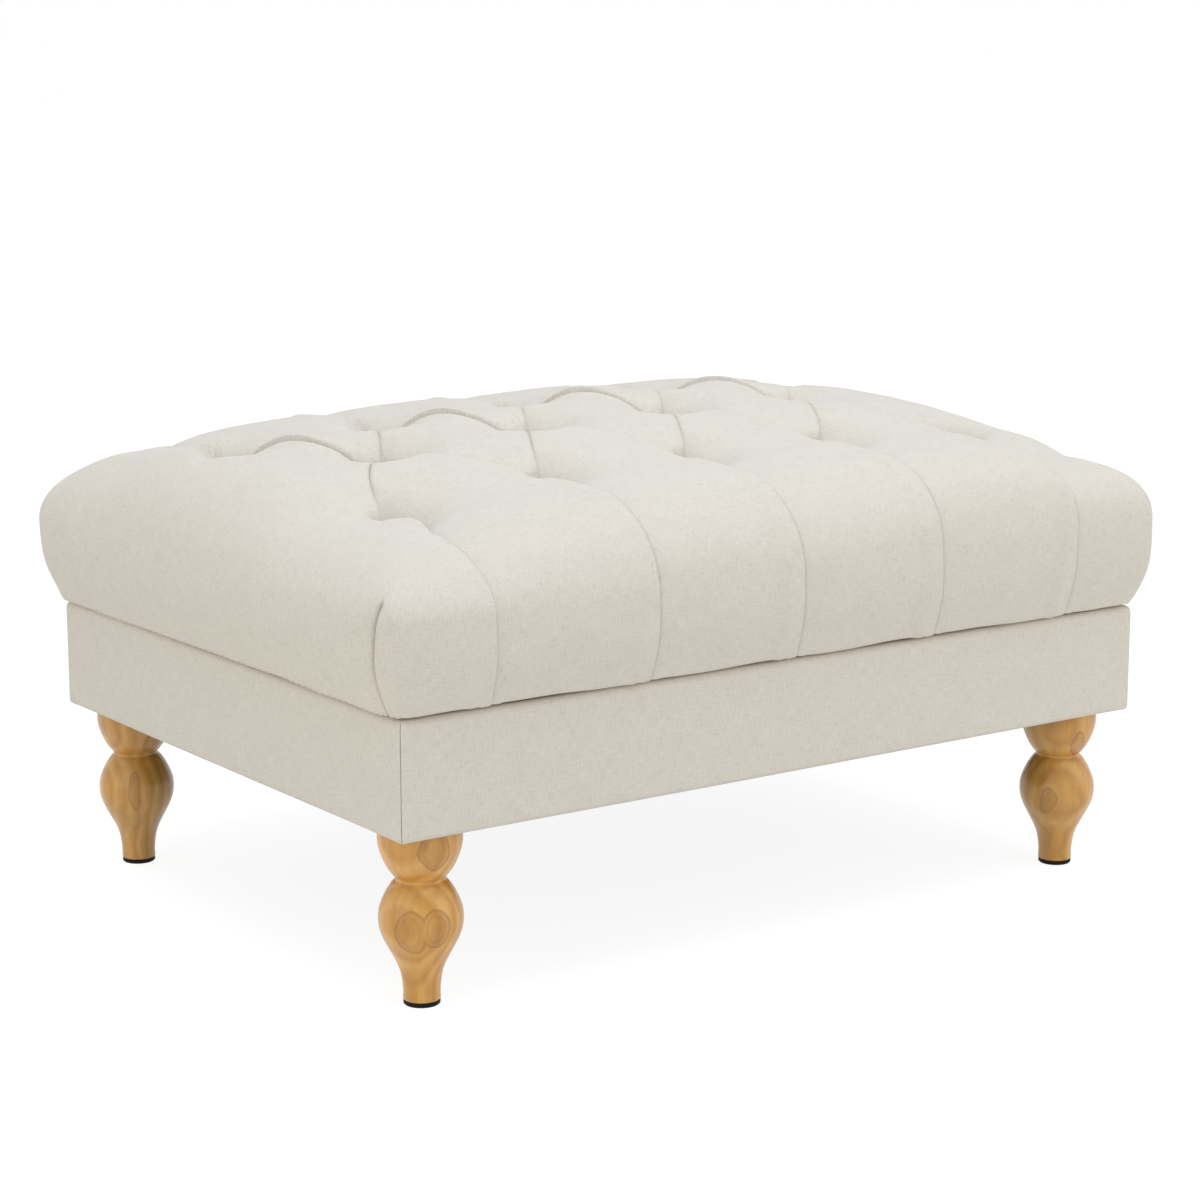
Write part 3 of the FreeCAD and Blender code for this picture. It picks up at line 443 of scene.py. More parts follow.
# Where along a fold its arch is highest, as a share of its length from the middle row.
CREST = 0.69


def diamond_cut(fold, spot, sizes):
    """A fold between two tufts. Those that rise to the right are deep, and the others are
    faint in front. Behind, the puffs arch between the tufts, and the far one curls over."""
    part = np.clip(spot.s / fold.length, 0, 1)
    near_tuft = np.abs(2 * part - 1) ** 2
    rolled = smooth_step(0.0075, 0.0, spot.gap)
    front = fold.b[1] < 0
    if (fold.b[0] > fold.a[0]) != front:
        return Cut((0.0010 + 0.0010 * near_tuft, 0.010), (0.0020 + 0.0030 * near_tuft, 0.022),
                   sizes.slit_depth * (0.58 + 0.42 * near_tuft), sizes.slit_width, 0.0022 * rolled)
    if front:
        return Cut((0.0010, 0.016), (0.0026 + 0.0015 * near_tuft, 0.030), 0.0040, sizes.slit_width,
                   0.0012 * rolled)
    before, d = part < CREST, spot.d
    arch = np.interp(fold.a[0], [-MIDDLE_END, MIDDLE_END], [0.150, 0.100]) * np.where(before, 0.46, 1.4)
    down = np.minimum(arch * (part - CREST) ** 2, 0.022)
    off_peak = np.clip(np.abs(part - CREST) / 0.40, 0, 1)
    left = (0.0002 + down, 0.016 + 0.052 * off_peak)
    right = (0.0010 + np.maximum(down * np.where(before, 1.0, 0.4) - 0.002, 0), 0.012 + 0.022 * off_peak)
    curl = smooth_step(0.15, 0.45, part) * smooth_step(1.0, 0.85, part)
    edge = 0.0018 * curl * (d > 0) * spot.beside
    edge = edge * smooth_step(0.0004, 0.0022, d) * smooth_step(0.024, 0.005, d)
    swell = 0.0062 * smooth_step(0.05, 0.32, part) * smooth_step(1.0, 0.86, part) * spot.beside
    swell = swell * bell(d, np.where(d < 0, 0.019, 0.016))
    lap = 0.0008 + 0.0030 * curl
    slide = lap * smooth_step(0.0001, 0.0017, spot.gap) * smooth_step(0.0125, 0.0035, spot.gap)
    return Cut(left, right, 0.0115 + down, sizes.slit_width, slide, 1, (edge, swell))


def pleat_cut(fold, spot, sizes):
    """A pleat down a long side. Its turned-in cloth makes a flat band along it, with a
    soft ridge, and the near puff in front bulges over the top of its pleat."""
    x, s, d = fold.a[0], spot.s, spot.d
    left = (np.interp(s, [0, 0.05, 0.1, 0.2], [0.002, 0.0018, 0.0013, 0.0010]), 0.011)
    rise = np.interp(s, [0, 0.03, 0.08, 0.13, 0.2, 0.3], [0.004, 0.0048, 0.0046, 0.0036, 0.0028, 0.0026])
    right = (rise, np.interp(s, [0, 0.08, 0.2], [0.030, 0.040, 0.034]))
    strength = np.interp(x, [-OUTER_END, -0.156], [0.74, 1.0])
    slit = strength * np.interp(s, [0, 0.04, 0.1, 0.2], [0.0105, 0.0072, 0.0051, 0.0042])
    band = np.interp(x, [-OUTER_END, 0.0, OUTER_END], [0.0009, 0.0026, 0.0030]) * (
        smooth_step(0.05, 0.11, s) * spot.beside)
    band = band * np.where(d > -0.021, 1.0, bell(d + 0.021, 0.0045)) * smooth_step(0.0002, -0.0205, d)
    pout = smooth_step(-0.2, -OUTER_END, x) * (fold.b[1] < 0) * bell(s - 0.045, 0.032)
    bulge = 0.0055 * pout * (d < 0.0004) * smooth_step(0.040, 0.006, spot.gap)
    lap = np.interp(s, [0, 0.06, 0.12], [0.0024, 0.0020, 0.0016]) + 0.008 * pout
    slide = lap * smooth_step(0.0075 + 2.6 * 0.008 * pout, 0.0, spot.gap)
    return Cut(left, right, slit, sizes.slit_width, slide, puffs=(band, bulge))


def corner_cut(fold, spot, sizes):
    """The fold at a corner: a wide slit with steep walls, which reads as a crisp dark line."""
    end = fold.length
    grow = smooth_step(-0.002, 0.012, spot.s) * smooth_step(end + 0.006, end - 0.01, spot.s)
    slide = 0.0004 * grow * smooth_step(0.0075, 0.0, spot.gap)
    return Cut((0.0036 * grow, 0.020), (0.0006 * grow, 0.010), 0.0210 * grow, sizes.slit_width * 1.7,
               slide, 1, steep=4.0)


CUTS = {"fold": diamond_cut, "pleat": pleat_cut, "corner": corner_cut}


def relief(points, sizes, folds, tufts):
    """How deep the tufts and folds draw the cover in, and how far it slides across.

    Most folds are lapped: the left side comes up full and rolls over the slit, and
    the right side starts lower and rises gently.
    """
    depth, slide = tuft_mouths(points, sizes, folds, tufts), np.zeros_like(points)
    valley = np.zeros(len(points))
    for fold in folds:
        spot = fold.measure(points)
        cut = CUTS[fold.kind](fold, spot, sizes)
        rise, reach = [np.where(spot.d < 0, a, b) for a, b in zip(cut.left, cut.right)]
        soft = rise * np.clip(1 - spot.gap / reach, 0, 1) ** 1.9
        valley = (valley ** 3 + soft ** 3) ** (1 / 3)
        depth += np.maximum(cut.slit - rise, 0) * np.exp(-(spot.gap / cut.width) ** cut.steep)
        for puff in cut.puffs:
            depth -= puff
        over = cut.slide * (spot.d * cut.upper > 0.0002) * spot.beside
        slide -= cut.upper * over[:, None] * fold.across
    return depth + valley, slide


def weld(places, faces):
    """Joins points that came to the same place: the points that stay, the faces between
    them, and which of the old faces these are, without those that closed up."""
    keys = np.round(places / 2e-6).astype(np.int64)
    _, first, back = np.unique(keys, axis=0, return_index=True, return_inverse=True)
    joined = back.ravel()[faces]
    good = (joined != joined[:, [1, 2, 0]]).all(1)
    return first, joined[good], good


def vertex_normals(places, faces):
    """The outward direction at each point, as the mean of its faces by their area."""
    corners = places[faces]
    normal = np.cross(corners[:, 1] - corners[:, 0], corners[:, 2] - corners[:, 0])
    total = np.zeros_like(places)
    for i in range(3):
        np.add.at(total, faces[:, i], normal)
    return total / np.maximum(np.linalg.norm(total, axis=1, keepdims=True), 1e-12)


def waver(places, *scales):
    """Smooth noise over the places, as the sum of (fineness, height) parts."""
    return np.array([sum(noise.noise(Vector(p) * fine) * high for fine, high in scales) for p in places])


def cushion_mesh(sizes):
    """The cushion's points and faces, its flat cloth and the faces there, and how free it is."""
    shape = Shape(sizes)
    folds, tufts = fold_lines(sizes, shape), tuft_places(sizes)
    points, edges = cloth_points(sizes, shape, folds, tufts)
    flat, faces = triangles(points, edges, shape)
    places = shape.place(flat)
    first, joined, good = weld(places, faces)
    base, cloth = places[first], flat[first]
    down = shape.down(cloth)
    depth, slide = relief(cloth, sizes, folds, tufts)
    hem = smooth_step(shape.depth - 0.030, shape.depth - 0.055, down)
    rough = waver(base, (9, 0.0022), (31, 0.0007))
    moved = base - vertex_normals(base, joined) * ((depth - rough) * hem)[:, None]
    moved[:, :2] += np.where(np.abs(cloth) > shape.half, 0, slide) * hem[:, None]
    # The lower edge lifts off the plinth here and there, a little more in front.
    edge = down - sizes.shoulder - shape.edge_s
    rim = smooth_step(-0.016, -0.003, edge) * smooth_step(0.036, 0.026, edge)
    lift = np.array([noise.noise(Vector((p[0] * 13, p[1] * 13, 8.1))) for p in base])
    in_front = smooth_step(-0.26, -0.29, base[:, 1])
    lift = 0.0008 + 0.0010 * in_front + (0.0014 + 0.0004 * in_front) * lift
    moved[:, 2] += rim * np.maximum(lift, 0.0002)
    # The corner behind on the left stands out a little to the left.
    behind = smooth_step(0.15, 0.0, np.hypot(base[:, 0] + shape.half[0], base[:, 1] - shape.half[1]))
    behind *= smooth_step(shape.depth - 0.024, shape.depth - 0.033, down)
    moved += np.outer(behind * smooth_step(0.40, 0.34, base[:, 2]) * 0.004, (-1, 0.4, 0))
    return moved, joined, flat, faces[good], looseness(cloth, shape, folds, tufts)


def looseness(cloth, shape, folds, tufts):
    """How free the cloth is: 0 where a fold, a tuft or the hem holds it, 1 on the puffs."""
    near = np.min([f.measure(cloth).gap for f in folds], axis=0)
    held = smooth_step(0.006, 0.032, np.minimum(near, gap_to(cloth, tufts) - 0.012))
    return held * smooth_step(shape.depth - 0.045, shape.depth - 0.085, shape.down(cloth))


def vertex_places(piece):
    places = np.empty(len(piece.data.vertices) * 3, np.float32)
    piece.data.vertices.foreach_get("co", places)
    return places.reshape(-1, 3)


def nearest(tree, places, count):
    """The places' nearest points in the tree, and their distances."""
    found = np.array([[(i, far) for _, i, far in tree.find_n(p, count)] for p in places])
    return found[:, :, 0].astype(int), found[:, :, 1]


def tree_of(places):
    tree = kdtree.KDTree(len(places))
    for i, p in enumerate(places):
        tree.insert(p, i)
    tree.balance()
    return tree


# How many frames the stuffing presses for, in how many steps the hold on the cloth grows,
# and how many points of the coarse copy each point of the fine cloth follows.
PRESS_FRAMES = 16
HOLD_STEPS = 20
LEADERS = 6


def press_out(piece, loose, sizes):
    """Lets the stuffing press the cloth out between its folds, in a cloth simulation of a
    coarse copy held at the folds, tufts and hem. The fine cloth follows the copy."""
    scene = bpy.context.scene
    fine = vertex_places(piece)
    loose = np.concatenate([loose, np.zeros(len(fine) - len(loose))])
    copy = add_object("pressed", piece.data.copy())
    only(copy)
    copy.data.remesh_voxel_size = sizes.press_voxel
    bpy.ops.object.voxel_remesh()
    before = vertex_places(copy)
    held = 1 - loose[nearest(tree_of(fine), before, 1)[0][:, 0]]
    group = copy.vertex_groups.new(name="held")
    level = np.round(held * HOLD_STEPS).astype(int)
    for k in range(1, HOLD_STEPS + 1):
        group.add(np.nonzero(level == k)[0].tolist(), k / HOLD_STEPS, "REPLACE")
    cloth = copy.modifiers.new("cloth", "CLOTH")
    cloth.settings.quality = 2
    cloth.settings.use_pressure = True
    cloth.settings.uniform_pressure_force = sizes.pressure
    cloth.settings.effector_weights.gravity = 0
    cloth.settings.vertex_group_mass = "held"
    cloth.collision_settings.use_collision = False
    cloth.point_cache.frame_start, cloth.point_cache.frame_end = 1, PRESS_FRAMES
    for step in range(1, PRESS_FRAMES + 1):
        scene.frame_set(step)
    bpy.ops.object.modifier_apply(modifier=cloth.name)
    move = vertex_places(copy) - before
    far = np.linalg.norm(move, axis=1, keepdims=True)
    move *= np.minimum(1, sizes.press_give / np.maximum(far, 1e-9))
    leaders, away = nearest(tree_of(before), fine, LEADERS)
    weight = 1 / (away + 0.002) ** 2
    follow = (move[leaders] * weight[:, :, None]).sum(1) / weight.sum(1)[:, None]
    piece.data.vertices.foreach_set("co", (fine + follow * loose[:, None]).astype(np.float32).ravel())
    piece.data.update()
    bpy.data.objects.remove(copy)
    scene.frame_set(1)


# Finishes

def woven_linen(name, colour, fleck, shade):
    """Linen-look polyester, plain woven with slubs: thick and thin threads run both
    ways and give the pale cloth its fine broken grain; it scatters light and has no gloss."""
    material, tree = new_material(name)
    cloth = node(tree, "UVMap", uv_map="cloth")
    # The real threads lie 0.5 mm apart, too fine to show, so the weave is drawn at 1.1 mm.
    thread = 1 / (1.1 * MM)
    slubs = []
    for scale, shift in (((thread, thread / 9, 1), (0, 0, 0)), ((thread / 9, thread, 1), (7.3, 2.1, 0))):
        yarn = node(tree, "Mapping", {"Vector": cloth, "Scale": scale, "Location": shift})
        slubs.append(node(tree, "TexNoise", {"Vector": yarn, "Scale": 1.0, "Detail": 3.0,
                                                       "Roughness": 0.6}))
    crossing = node(tree, "Math", {0: slubs[0], 1: slubs[1]}, operation="ADD")
    grain = node(tree, "Math", {0: crossing, 1: 0.5}, operation="MULTIPLY")
    # Blotches 25 mm wide, where the yarn takes the dye a little differently.
    blotch = node(tree, "TexNoise", {"Vector": cloth, "Scale": 40.0, "Detail": 2.0})
    base = node(tree, "ValToRGB", {"Fac": grain}, ((0.30, shade), (0.49, colour), (0.70, fleck)))
    tone = node(tree, "MapRange", {"Value": blotch, "From Min": 0.3, "From Max": 0.7,
                                             "To Min": 0.985, "To Max": 1.015})
    mixed = node(tree, "Mix", {"Factor": 1.0, 6: base, 7: tone},
                 data_type="RGBA", blend_type="MULTIPLY")
    bump = node(tree, "Bump", {"Height": grain, "Strength": 0.28, "Distance": 0.35 * MM})
    shader = node(tree, "BsdfPrincipled", {
        "Base Color": mixed.outputs[2], "Roughness": 0.92, "Sheen Weight": 0.18, "Sheen Roughness": 0.45,
        "Specular IOR Level": 0.2, "Normal": bump})
    node(tree, "OutputMaterial", {"Surface": shader})
    return material


def lacquered_wood(name, heart, lean, ovals, colours, seed, tone):
    """Turned rubberwood under satin lacquer: pale honey, with faint streaks along the leg
    and soft brown ovals where the lathe cut across a growth ring of the bulb. tone scales
    the leg's whole colour: painted shade, darker on the legs that stand more in shade."""
    material, tree = new_material(name)
    place = node(tree, "TexCoord").outputs["Object"]
    pale, mid, dark = colours

    # The figure wanders by a few millimetres.
    wander = node(tree, "TexNoise", {"Vector": place, "Scale": 32.0, "Detail": 1.5, "W": seed},
                  noise_dimensions="4D")
    centred = node(tree, "VectorMath", {0: wander.outputs["Color"], 1: (0.5, 0.5, 0.5)},
                   operation="SUBTRACT")
    pushed = node(tree, "VectorMath", {0: centred, "Scale": 0.014}, operation="SCALE")
    moved = node(tree, "VectorMath", {0: place, 1: pushed}, operation="ADD")

    # Growth rings 11 mm apart round the heart of the trunk.
    log = node(tree, "Mapping", {"Vector": moved, "Location": heart, "Rotation": lean})
    across = node(tree, "VectorMath", {0: log, 1: (1.0, 1.0, 0.05)}, operation="MULTIPLY")
    radius = node(tree, "VectorMath", {0: across}, operation="LENGTH").outputs["Value"]
    rings = node(tree, "Math", {0: radius, 1: 1 / (11.0 * MM)}, operation="MULTIPLY")
    year = node(tree, "Math", {0: rings}, operation="FRACT")
    late_wood = [a + (b - a) * 0.16 for a, b in zip(mid, dark)]
    ringed = node(tree, "ValToRGB", {"Fac": year},
                  ((0.0, mid), (0.5, pale), (0.8, mid), (0.92, late_wood), (1.0, mid)))

    # Closed ovals of browner wood, darkest at their rim.
    nearest_oval = None
    for centre, wide, high in ovals:
        off = node(tree, "VectorMath", {0: moved, 1: centre}, operation="SUBTRACT")
        scaled = node(tree, "VectorMath", {0: off, 1: (1 / wide, 1 / wide, 1 / high)},
                      operation="MULTIPLY")
        far = node(tree, "VectorMath", {0: scaled}, operation="LENGTH").outputs["Value"]
        if nearest_oval is not None:
            far = node(tree, "Math", {0: nearest_oval, 1: far, 2: 0.12}, operation="SMOOTH_MIN")
        nearest_oval = far
    shown = node(tree, "ValToRGB", {"Fac": nearest_oval},
                 ((0.0, grey(0.42)), (0.45, grey(0.24)), (0.62, grey(0.44)), (0.76, grey(0.28)),
                  (0.91, grey(0.68)), (1.0, grey(0.0))))
    figured = node(tree, "Mix", {"Factor": shown, 6: ringed, 7: dark}, data_type="RGBA")

    # Pores and fine fibres 0.8 mm wide and 25 mm long, and broad streaks 7 mm wide.
    fibre_place = node(tree, "Mapping", {"Vector": place, "Scale": (1250, 1250, 40)})
    fibre = node(tree, "TexNoise", {"Vector": fibre_place, "Scale": 1.0, "Detail": 3.0})
    streak_place = node(tree, "Mapping", {"Vector": place, "Scale": (150, 150, 9)})
    streak = node(tree, "TexNoise", {"Vector": streak_place, "Scale": 1.0, "Detail": 2.0})
    # tone scales the fibres' tones and so the whole leg: painted shade on the legs that stand more in
    # shade.
    fine = node(tree, "MapRange", {"Value": fibre, "From Min": 0.25, "From Max": 0.75,
                                             "To Min": 0.94 * tone, "To Max": 1.05 * tone})
    broad = node(tree, "MapRange", {"Value": streak, "From Min": 0.3, "From Max": 0.7,
                                              "To Min": 0.90, "To Max": 1.07})
    both = node(tree, "Math", {0: fine, 1: broad}, operation="MULTIPLY")
    wood = node(tree, "Mix", {"Factor": 1.0, 6: figured.outputs[2], 7: both},
                data_type="RGBA", blend_type="MULTIPLY")
    bump = node(tree, "Bump", {"Height": fibre, "Strength": 0.05, "Distance": 0.1 * MM})
    shader = node(tree, "BsdfPrincipled", {
        "Base Color": wood.outputs[2], "Roughness": 0.38, "Coat Weight": 0.4, "Coat Roughness": 0.14,
        "Specular IOR Level": 0.45, "Normal": bump})
    node(tree, "OutputMaterial", {"Surface": shader})
    return material


def plain_finish(name, low, high, patch, roughness, metallic=0.0, stretch=(1, 1, 1), bump_depth=0.1 * MM,
                 specular=0.5):
    """A finish whose colour wanders between two tones over patches of a real size."""
    material, tree = new_material(name)
    place = node(tree, "TexCoord").outputs["Object"]
    scaled = node(tree, "Mapping", {"Vector": place, "Scale": tuple(s / patch for s in stretch)})
    grain = node(tree, "TexNoise", {"Vector": scaled, "Scale": 1.0, "Detail": 4.0})
    colour = node(tree, "ValToRGB", {"Fac": grain}, ((0.3, low), (0.7, high)))
    rough = node(tree, "MapRange", {"Value": grain, "From Min": 0.3, "From Max": 0.7,
                                              "To Min": roughness - 0.06, "To Max": roughness + 0.06})
    bump = node(tree, "Bump", {"Height": grain, "Strength": 0.2, "Distance": bump_depth})
    shader = node(tree, "BsdfPrincipled", {
        "Base Color": colour, "Roughness": rough, "Metallic": metallic, "Specular IOR Level": specular,
        "Normal": bump})
    node(tree, "OutputMaterial", {"Surface": shader})
    return material


# Sizes and colours that a user would change

def size(name, text, default, low=0.0, high=2.0):
    return bpy.props.FloatProperty(name=name, description=text, default=default, min=low, max=high,
                                   subtype="DISTANCE", unit="LENGTH")


def colour(name, text, code):
    return bpy.props.FloatVectorProperty(name=name, description=text, default=linear(code)[:3], size=3,
                                         min=0.0, max=1.0, subtype="COLOR")


class CushionSizes(bpy.types.PropertyGroup):
    shoulder: size("Shoulder", "Radius of the cushion's rounded top edges", 0.085)
    belly: size("Belly height", "Height of the cushion's widest line over the floor", 0.328)
    crown: size("Crown height", "Height of the cushion's highest place over the floor",
                COVER_HIGH.z + 0.001)
    bulge: size("Bulge", "How far the cushion stands out past the plinth", 0.019)
    corner_squareness: bpy.props.FloatProperty(name="Corner squareness", default=5.0, min=2.0, max=12.0,
                                               description="2 gives round corners, 12 nearly square ones")
    tuft_step_x: size("Tuft step, long way", "Distance of the tufts along the long side", 0.156)
    tuft_step_y: size("Tuft row step", "Distance of the rows of tufts", 0.137)
    tuft_depth: size("Tuft depth", "How deep the buttons are drawn in", 0.084)
    tuft_dip: size("Tuft dip", "How deep the soft mouth of each tuft is", 0.034)
    tuft_mouth: size("Tuft mouth", "Radius of the soft mouth of each tuft", 0.026)
    slit_depth: size("Slit depth", "Depth of the slit in the folds that rise to the right", 0.0115)
    slit_width: size("Slit width", "Half width of the closed slit in each fold", 0.0009)
    mesh_step: size("Mesh step", "Spacing of the mesh between the folds", 0.0055, 0.003)
    pressure: bpy.props.FloatProperty(name="Pressure", description="Pressure of the stuffing on the cloth",
                                      default=12.0, min=0.0, max=50.0)
    press_give: size("Give", "How far the stuffing may press the cloth out", 0.005)
    press_voxel: size("Press voxel", "Voxel of the copy that the stuffing presses out", 0.012, 0.005)


class PlinthSizes(bpy.types.PropertyGroup):
    top_round: size("Top edge round", "Radius of the plinth's top edge", 0.006)
    foot_round: size("Bottom edge round", "Radius of the plinth's bottom edge", 0.0045)
    corner_round: size("Corner round", "Radius of the plinth's upright corners", 0.0045)
    seam_tuck: size("Seam tuck", "How deep the panels turn in where they are sewn", 0.0013)
    hem: size("Hem", "Cloth turned in over the top and under the bottom", 0.022)
    cloth: size("Cloth thickness", "Thickness of the upholstery cloth", 0.001)
    ripple: size("Ripple", "How far the cloth stands off in gentle waves", 0.0006)


class LegSizes(bpy.types.PropertyGroup):
    facets: bpy.props.IntProperty(name="Facets", description="Faces round each leg", default=64,
                                  min=12, max=128)


class FinishColours(bpy.types.PropertyGroup):
    linen: colour("Linen", "Colour of the cloth", "#dbd6ca")
    linen_fleck: colour("Linen fleck", "Colour of the cloth's pale threads", "#e4dfd4")
    linen_shade: colour("Linen shade", "Colour of the cloth's dark threads", "#ccc6b8")
    wood_pale: colour("Pale wood", "Colour of the legs between the growth rings", "#dfab5a")
    wood: colour("Wood", "Main colour of the legs", "#cf9743")
    wood_dark: colour("Dark wood", "Colour of the legs' growth rings", "#a0682a")
    glide: colour("Glide", "Colour of the glides under the legs", "#17140f")


def chosen_colours(scene, *names):
    """The colours set under these names, as nodes take them."""
    return [(*getattr(scene.pouf_finish, name), 1.0) for name in names]


# Pieces

def add_object(name, data):
    made = bpy.data.objects.new(name, data)
    bpy.context.scene.collection.objects.link(made)
    return made


def build_mesh(name, places, faces):
    mesh = bpy.data.meshes.new(name)
    mesh.from_pydata(places.tolist(), [], faces.tolist())
    mesh.validate()
    mesh.polygons.foreach_set("use_smooth", [True] * len(mesh.polygons))
    return add_object(name, mesh)


def cloth_map(piece, flat, faces):
    """Lays the unrolled cloth on the piece as its UV map, one unit to the metre."""
    layer = piece.data.uv_layers.new(name="cloth")
    layer.data.foreach_set("uv", flat[faces.ravel()].astype(np.float32).ravel())


def only(piece):
    """Selects one object and nothing else."""
    bpy.ops.object.select_all(action="DESELECT")
    piece.select_set(True)
    bpy.context.view_layer.objects.active = piece


def thicken(piece, thickness, offset=-1):
    """Gives a sheet its thickness: inwards at -1, half to either side at 0."""
    only(piece)
    wall = piece.modifiers.new("thickness", "SOLIDIFY")
    wall.thickness = thickness
    wall.offset = offset
    bpy.ops.object.modifier_apply(modifier=wall.name)


def finish(piece, material, slot, *nodes):
    """Gives a piece its material, and says what it rides on and what it replaces. The slot is not used."""
    piece.data.materials.clear()
    piece.data.materials.append(material)
    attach(piece, "root")
    if nodes:
        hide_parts(*nodes)


def linen_of(scene):
    """The linen, made on its first use and shared by the pieces covered in it."""
    made = bpy.data.materials.get("linen_cloth")
    if made is None:
        colours = chosen_colours(scene, "linen", "linen_fleck", "linen_shade")
        made = woven_linen("linen_cloth", *colours)
    return made


class POUF_OT_cushion(bpy.types.Operator):
    """Makes the tufted cushion"""
    bl_idname = "pouf.cushion"
    bl_label = "Tufted cushion"

    def execute(self, context):
        sizes = context.scene.pouf_cushion
        places, joined, flat, apart, loose = cushion_mesh(sizes)
        piece = build_mesh("tufted_cushion", places, joined)
        cloth_map(piece, flat, apart)
        self.close_foot(piece)
        press_out(piece, loose, sizes)
        finish(piece, linen_of(context.scene), "linen", "tufted_cover", "seat_foam")
        return {"FINISHED"}

    def close_foot(self, piece):
        """Closes the open ring under the cushion with one flat face."""
        mesh = bmesh.new()
        mesh.from_mesh(piece.data)
        made = bmesh.ops.contextual_create(mesh, geom=[e for e in mesh.edges if e.is_boundary])
        for face in made["faces"]:
            face.smooth = False
            if face.normal.z > 0:
                face.normal_flip()
        mesh.to_mesh(piece.data)
        mesh.free()


# The mesh of the plinth cloth. Across it: shares of the hem, and how many steps it has round
# the top edge, down the face and round the bottom edge. Along it: the step between the
# corners, angles round half of each corner, and shares of the way into the seam.
HEM_STEPS = (0.33, 0.66, 1.0)
TOP_STEPS, FACE_STEPS, FOOT_STEPS = 8, 10, 6
PANEL_STEP = 0.012
CORNER_STEPS = np.radians([7, 14, 21, 28, 34, 39])
SEAM_STEPS = (0.45, 1.0)


def panel_profile(low, high, sizes):
    """Across the panel: how far along the cloth, how far in from the face, how high."""
    top, foot, hem = sizes.top_round, sizes.foot_round, sizes.hem
    turned_in = hem - top
    points = [(-turned_in * k, top + turned_in * k, high) for k in reversed(HEM_STEPS)]
    for i in range(TOP_STEPS + 1):
        a = math.pi / 2 * i / TOP_STEPS
        points.append((top * a, top * (1 - math.sin(a)), high - top * (1 - math.cos(a))))
    start, drop = top * math.pi / 2, high - low - top - foot
    for i in range(1, FACE_STEPS):
        points.append((start + drop * i / FACE_STEPS, 0.0, high - top - drop * i / FACE_STEPS))
    for i in range(FOOT_STEPS + 1):
        a = math.pi / 2 * i / FOOT_STEPS
        points.append((start + drop + foot * a, foot * (1 - math.cos(a)), low + foot * (1 - math.sin(a))))
    end = start + drop + foot * math.pi / 2
    return points + [(end + (hem - foot) * k, foot + (hem - foot) * k, low) for k in HEM_STEPS]


def panel_mesh(name, low, high, side, sizes):
    """One panel of the plinth's cloth: it goes round half of each corner, where it turns
    in to the seam, and is turned in over the top and under the bottom."""
    quarter = {"front": 0, "right": 1, "back": 2, "left": 3}[side]
    reach, face = (high.x, high.y) if quarter % 2 == 0 else (high.y, high.x)
    corner = sizes.corner_round
    straight = np.linspace(-1, 1, int(2 * reach / PANEL_STEP))
    columns = [("seam", -1, k) for k in reversed(SEAM_STEPS)]
    columns += [("bend", -1, a) for a in CORNER_STEPS[::-1]] + [("straight", k, 0) for k in straight]
    columns += [("bend", 1, a) for a in CORNER_STEPS] + [("seam", 1, k) for k in SEAM_STEPS]
    places, cloth = [], []
    for t, inset, level in panel_profile(low.z, high.z, sizes):
        r = max(corner - inset, 0.4 * MM)
        middle, deep = reach - inset - r, face - inset - r
        for kind, sign, value in columns:
            stand_off = 0.0
            if kind == "straight":
                x, y, c = sign * middle, deep + r, sign * (reach - corner)
                if abs(sign) < 0.98:
                    wave = noise.noise(Vector((c * 7, level * 9, 3.7 + quarter)))
                    stand_off = sizes.ripple + wave * sizes.ripple
            elif kind == "bend":
                x, y = sign * (middle + r * math.sin(value)), deep + r * math.cos(value)
                c = sign * (reach - corner + corner * value)
            else:
                # The two panels turn in side by side and leave a shallow groove.
                tuck = (r - value * sizes.seam_tuck) * math.sin(math.pi / 4)
                apart = 0.2 * MM * (1 - value)
                x, y = sign * (middle + tuck - apart), deep + tuck + apart
                c = sign * (reach - corner + corner * math.pi / 4 + value * sizes.seam_tuck)
            places.append((x, stand_off - y, level))
            cloth.append((c, t))
    wide, rows = len(columns), len(places) // len(columns)
    faces = np.array([(i * wide + j, (i + 1) * wide + j, (i + 1) * wide + j + 1, i * wide + j + 1)
                      for i in range(rows - 1) for j in range(wide - 1)])
    piece = build_mesh(name, np.array(places), faces)
    piece.data.transform(Matrix.Rotation(quarter * math.pi / 2, 4, "Z"))
    cloth_map(piece, np.array(cloth), faces)
    return piece, cloth[-1][0] - cloth[0][0], cloth[-1][1] - cloth[0][1]


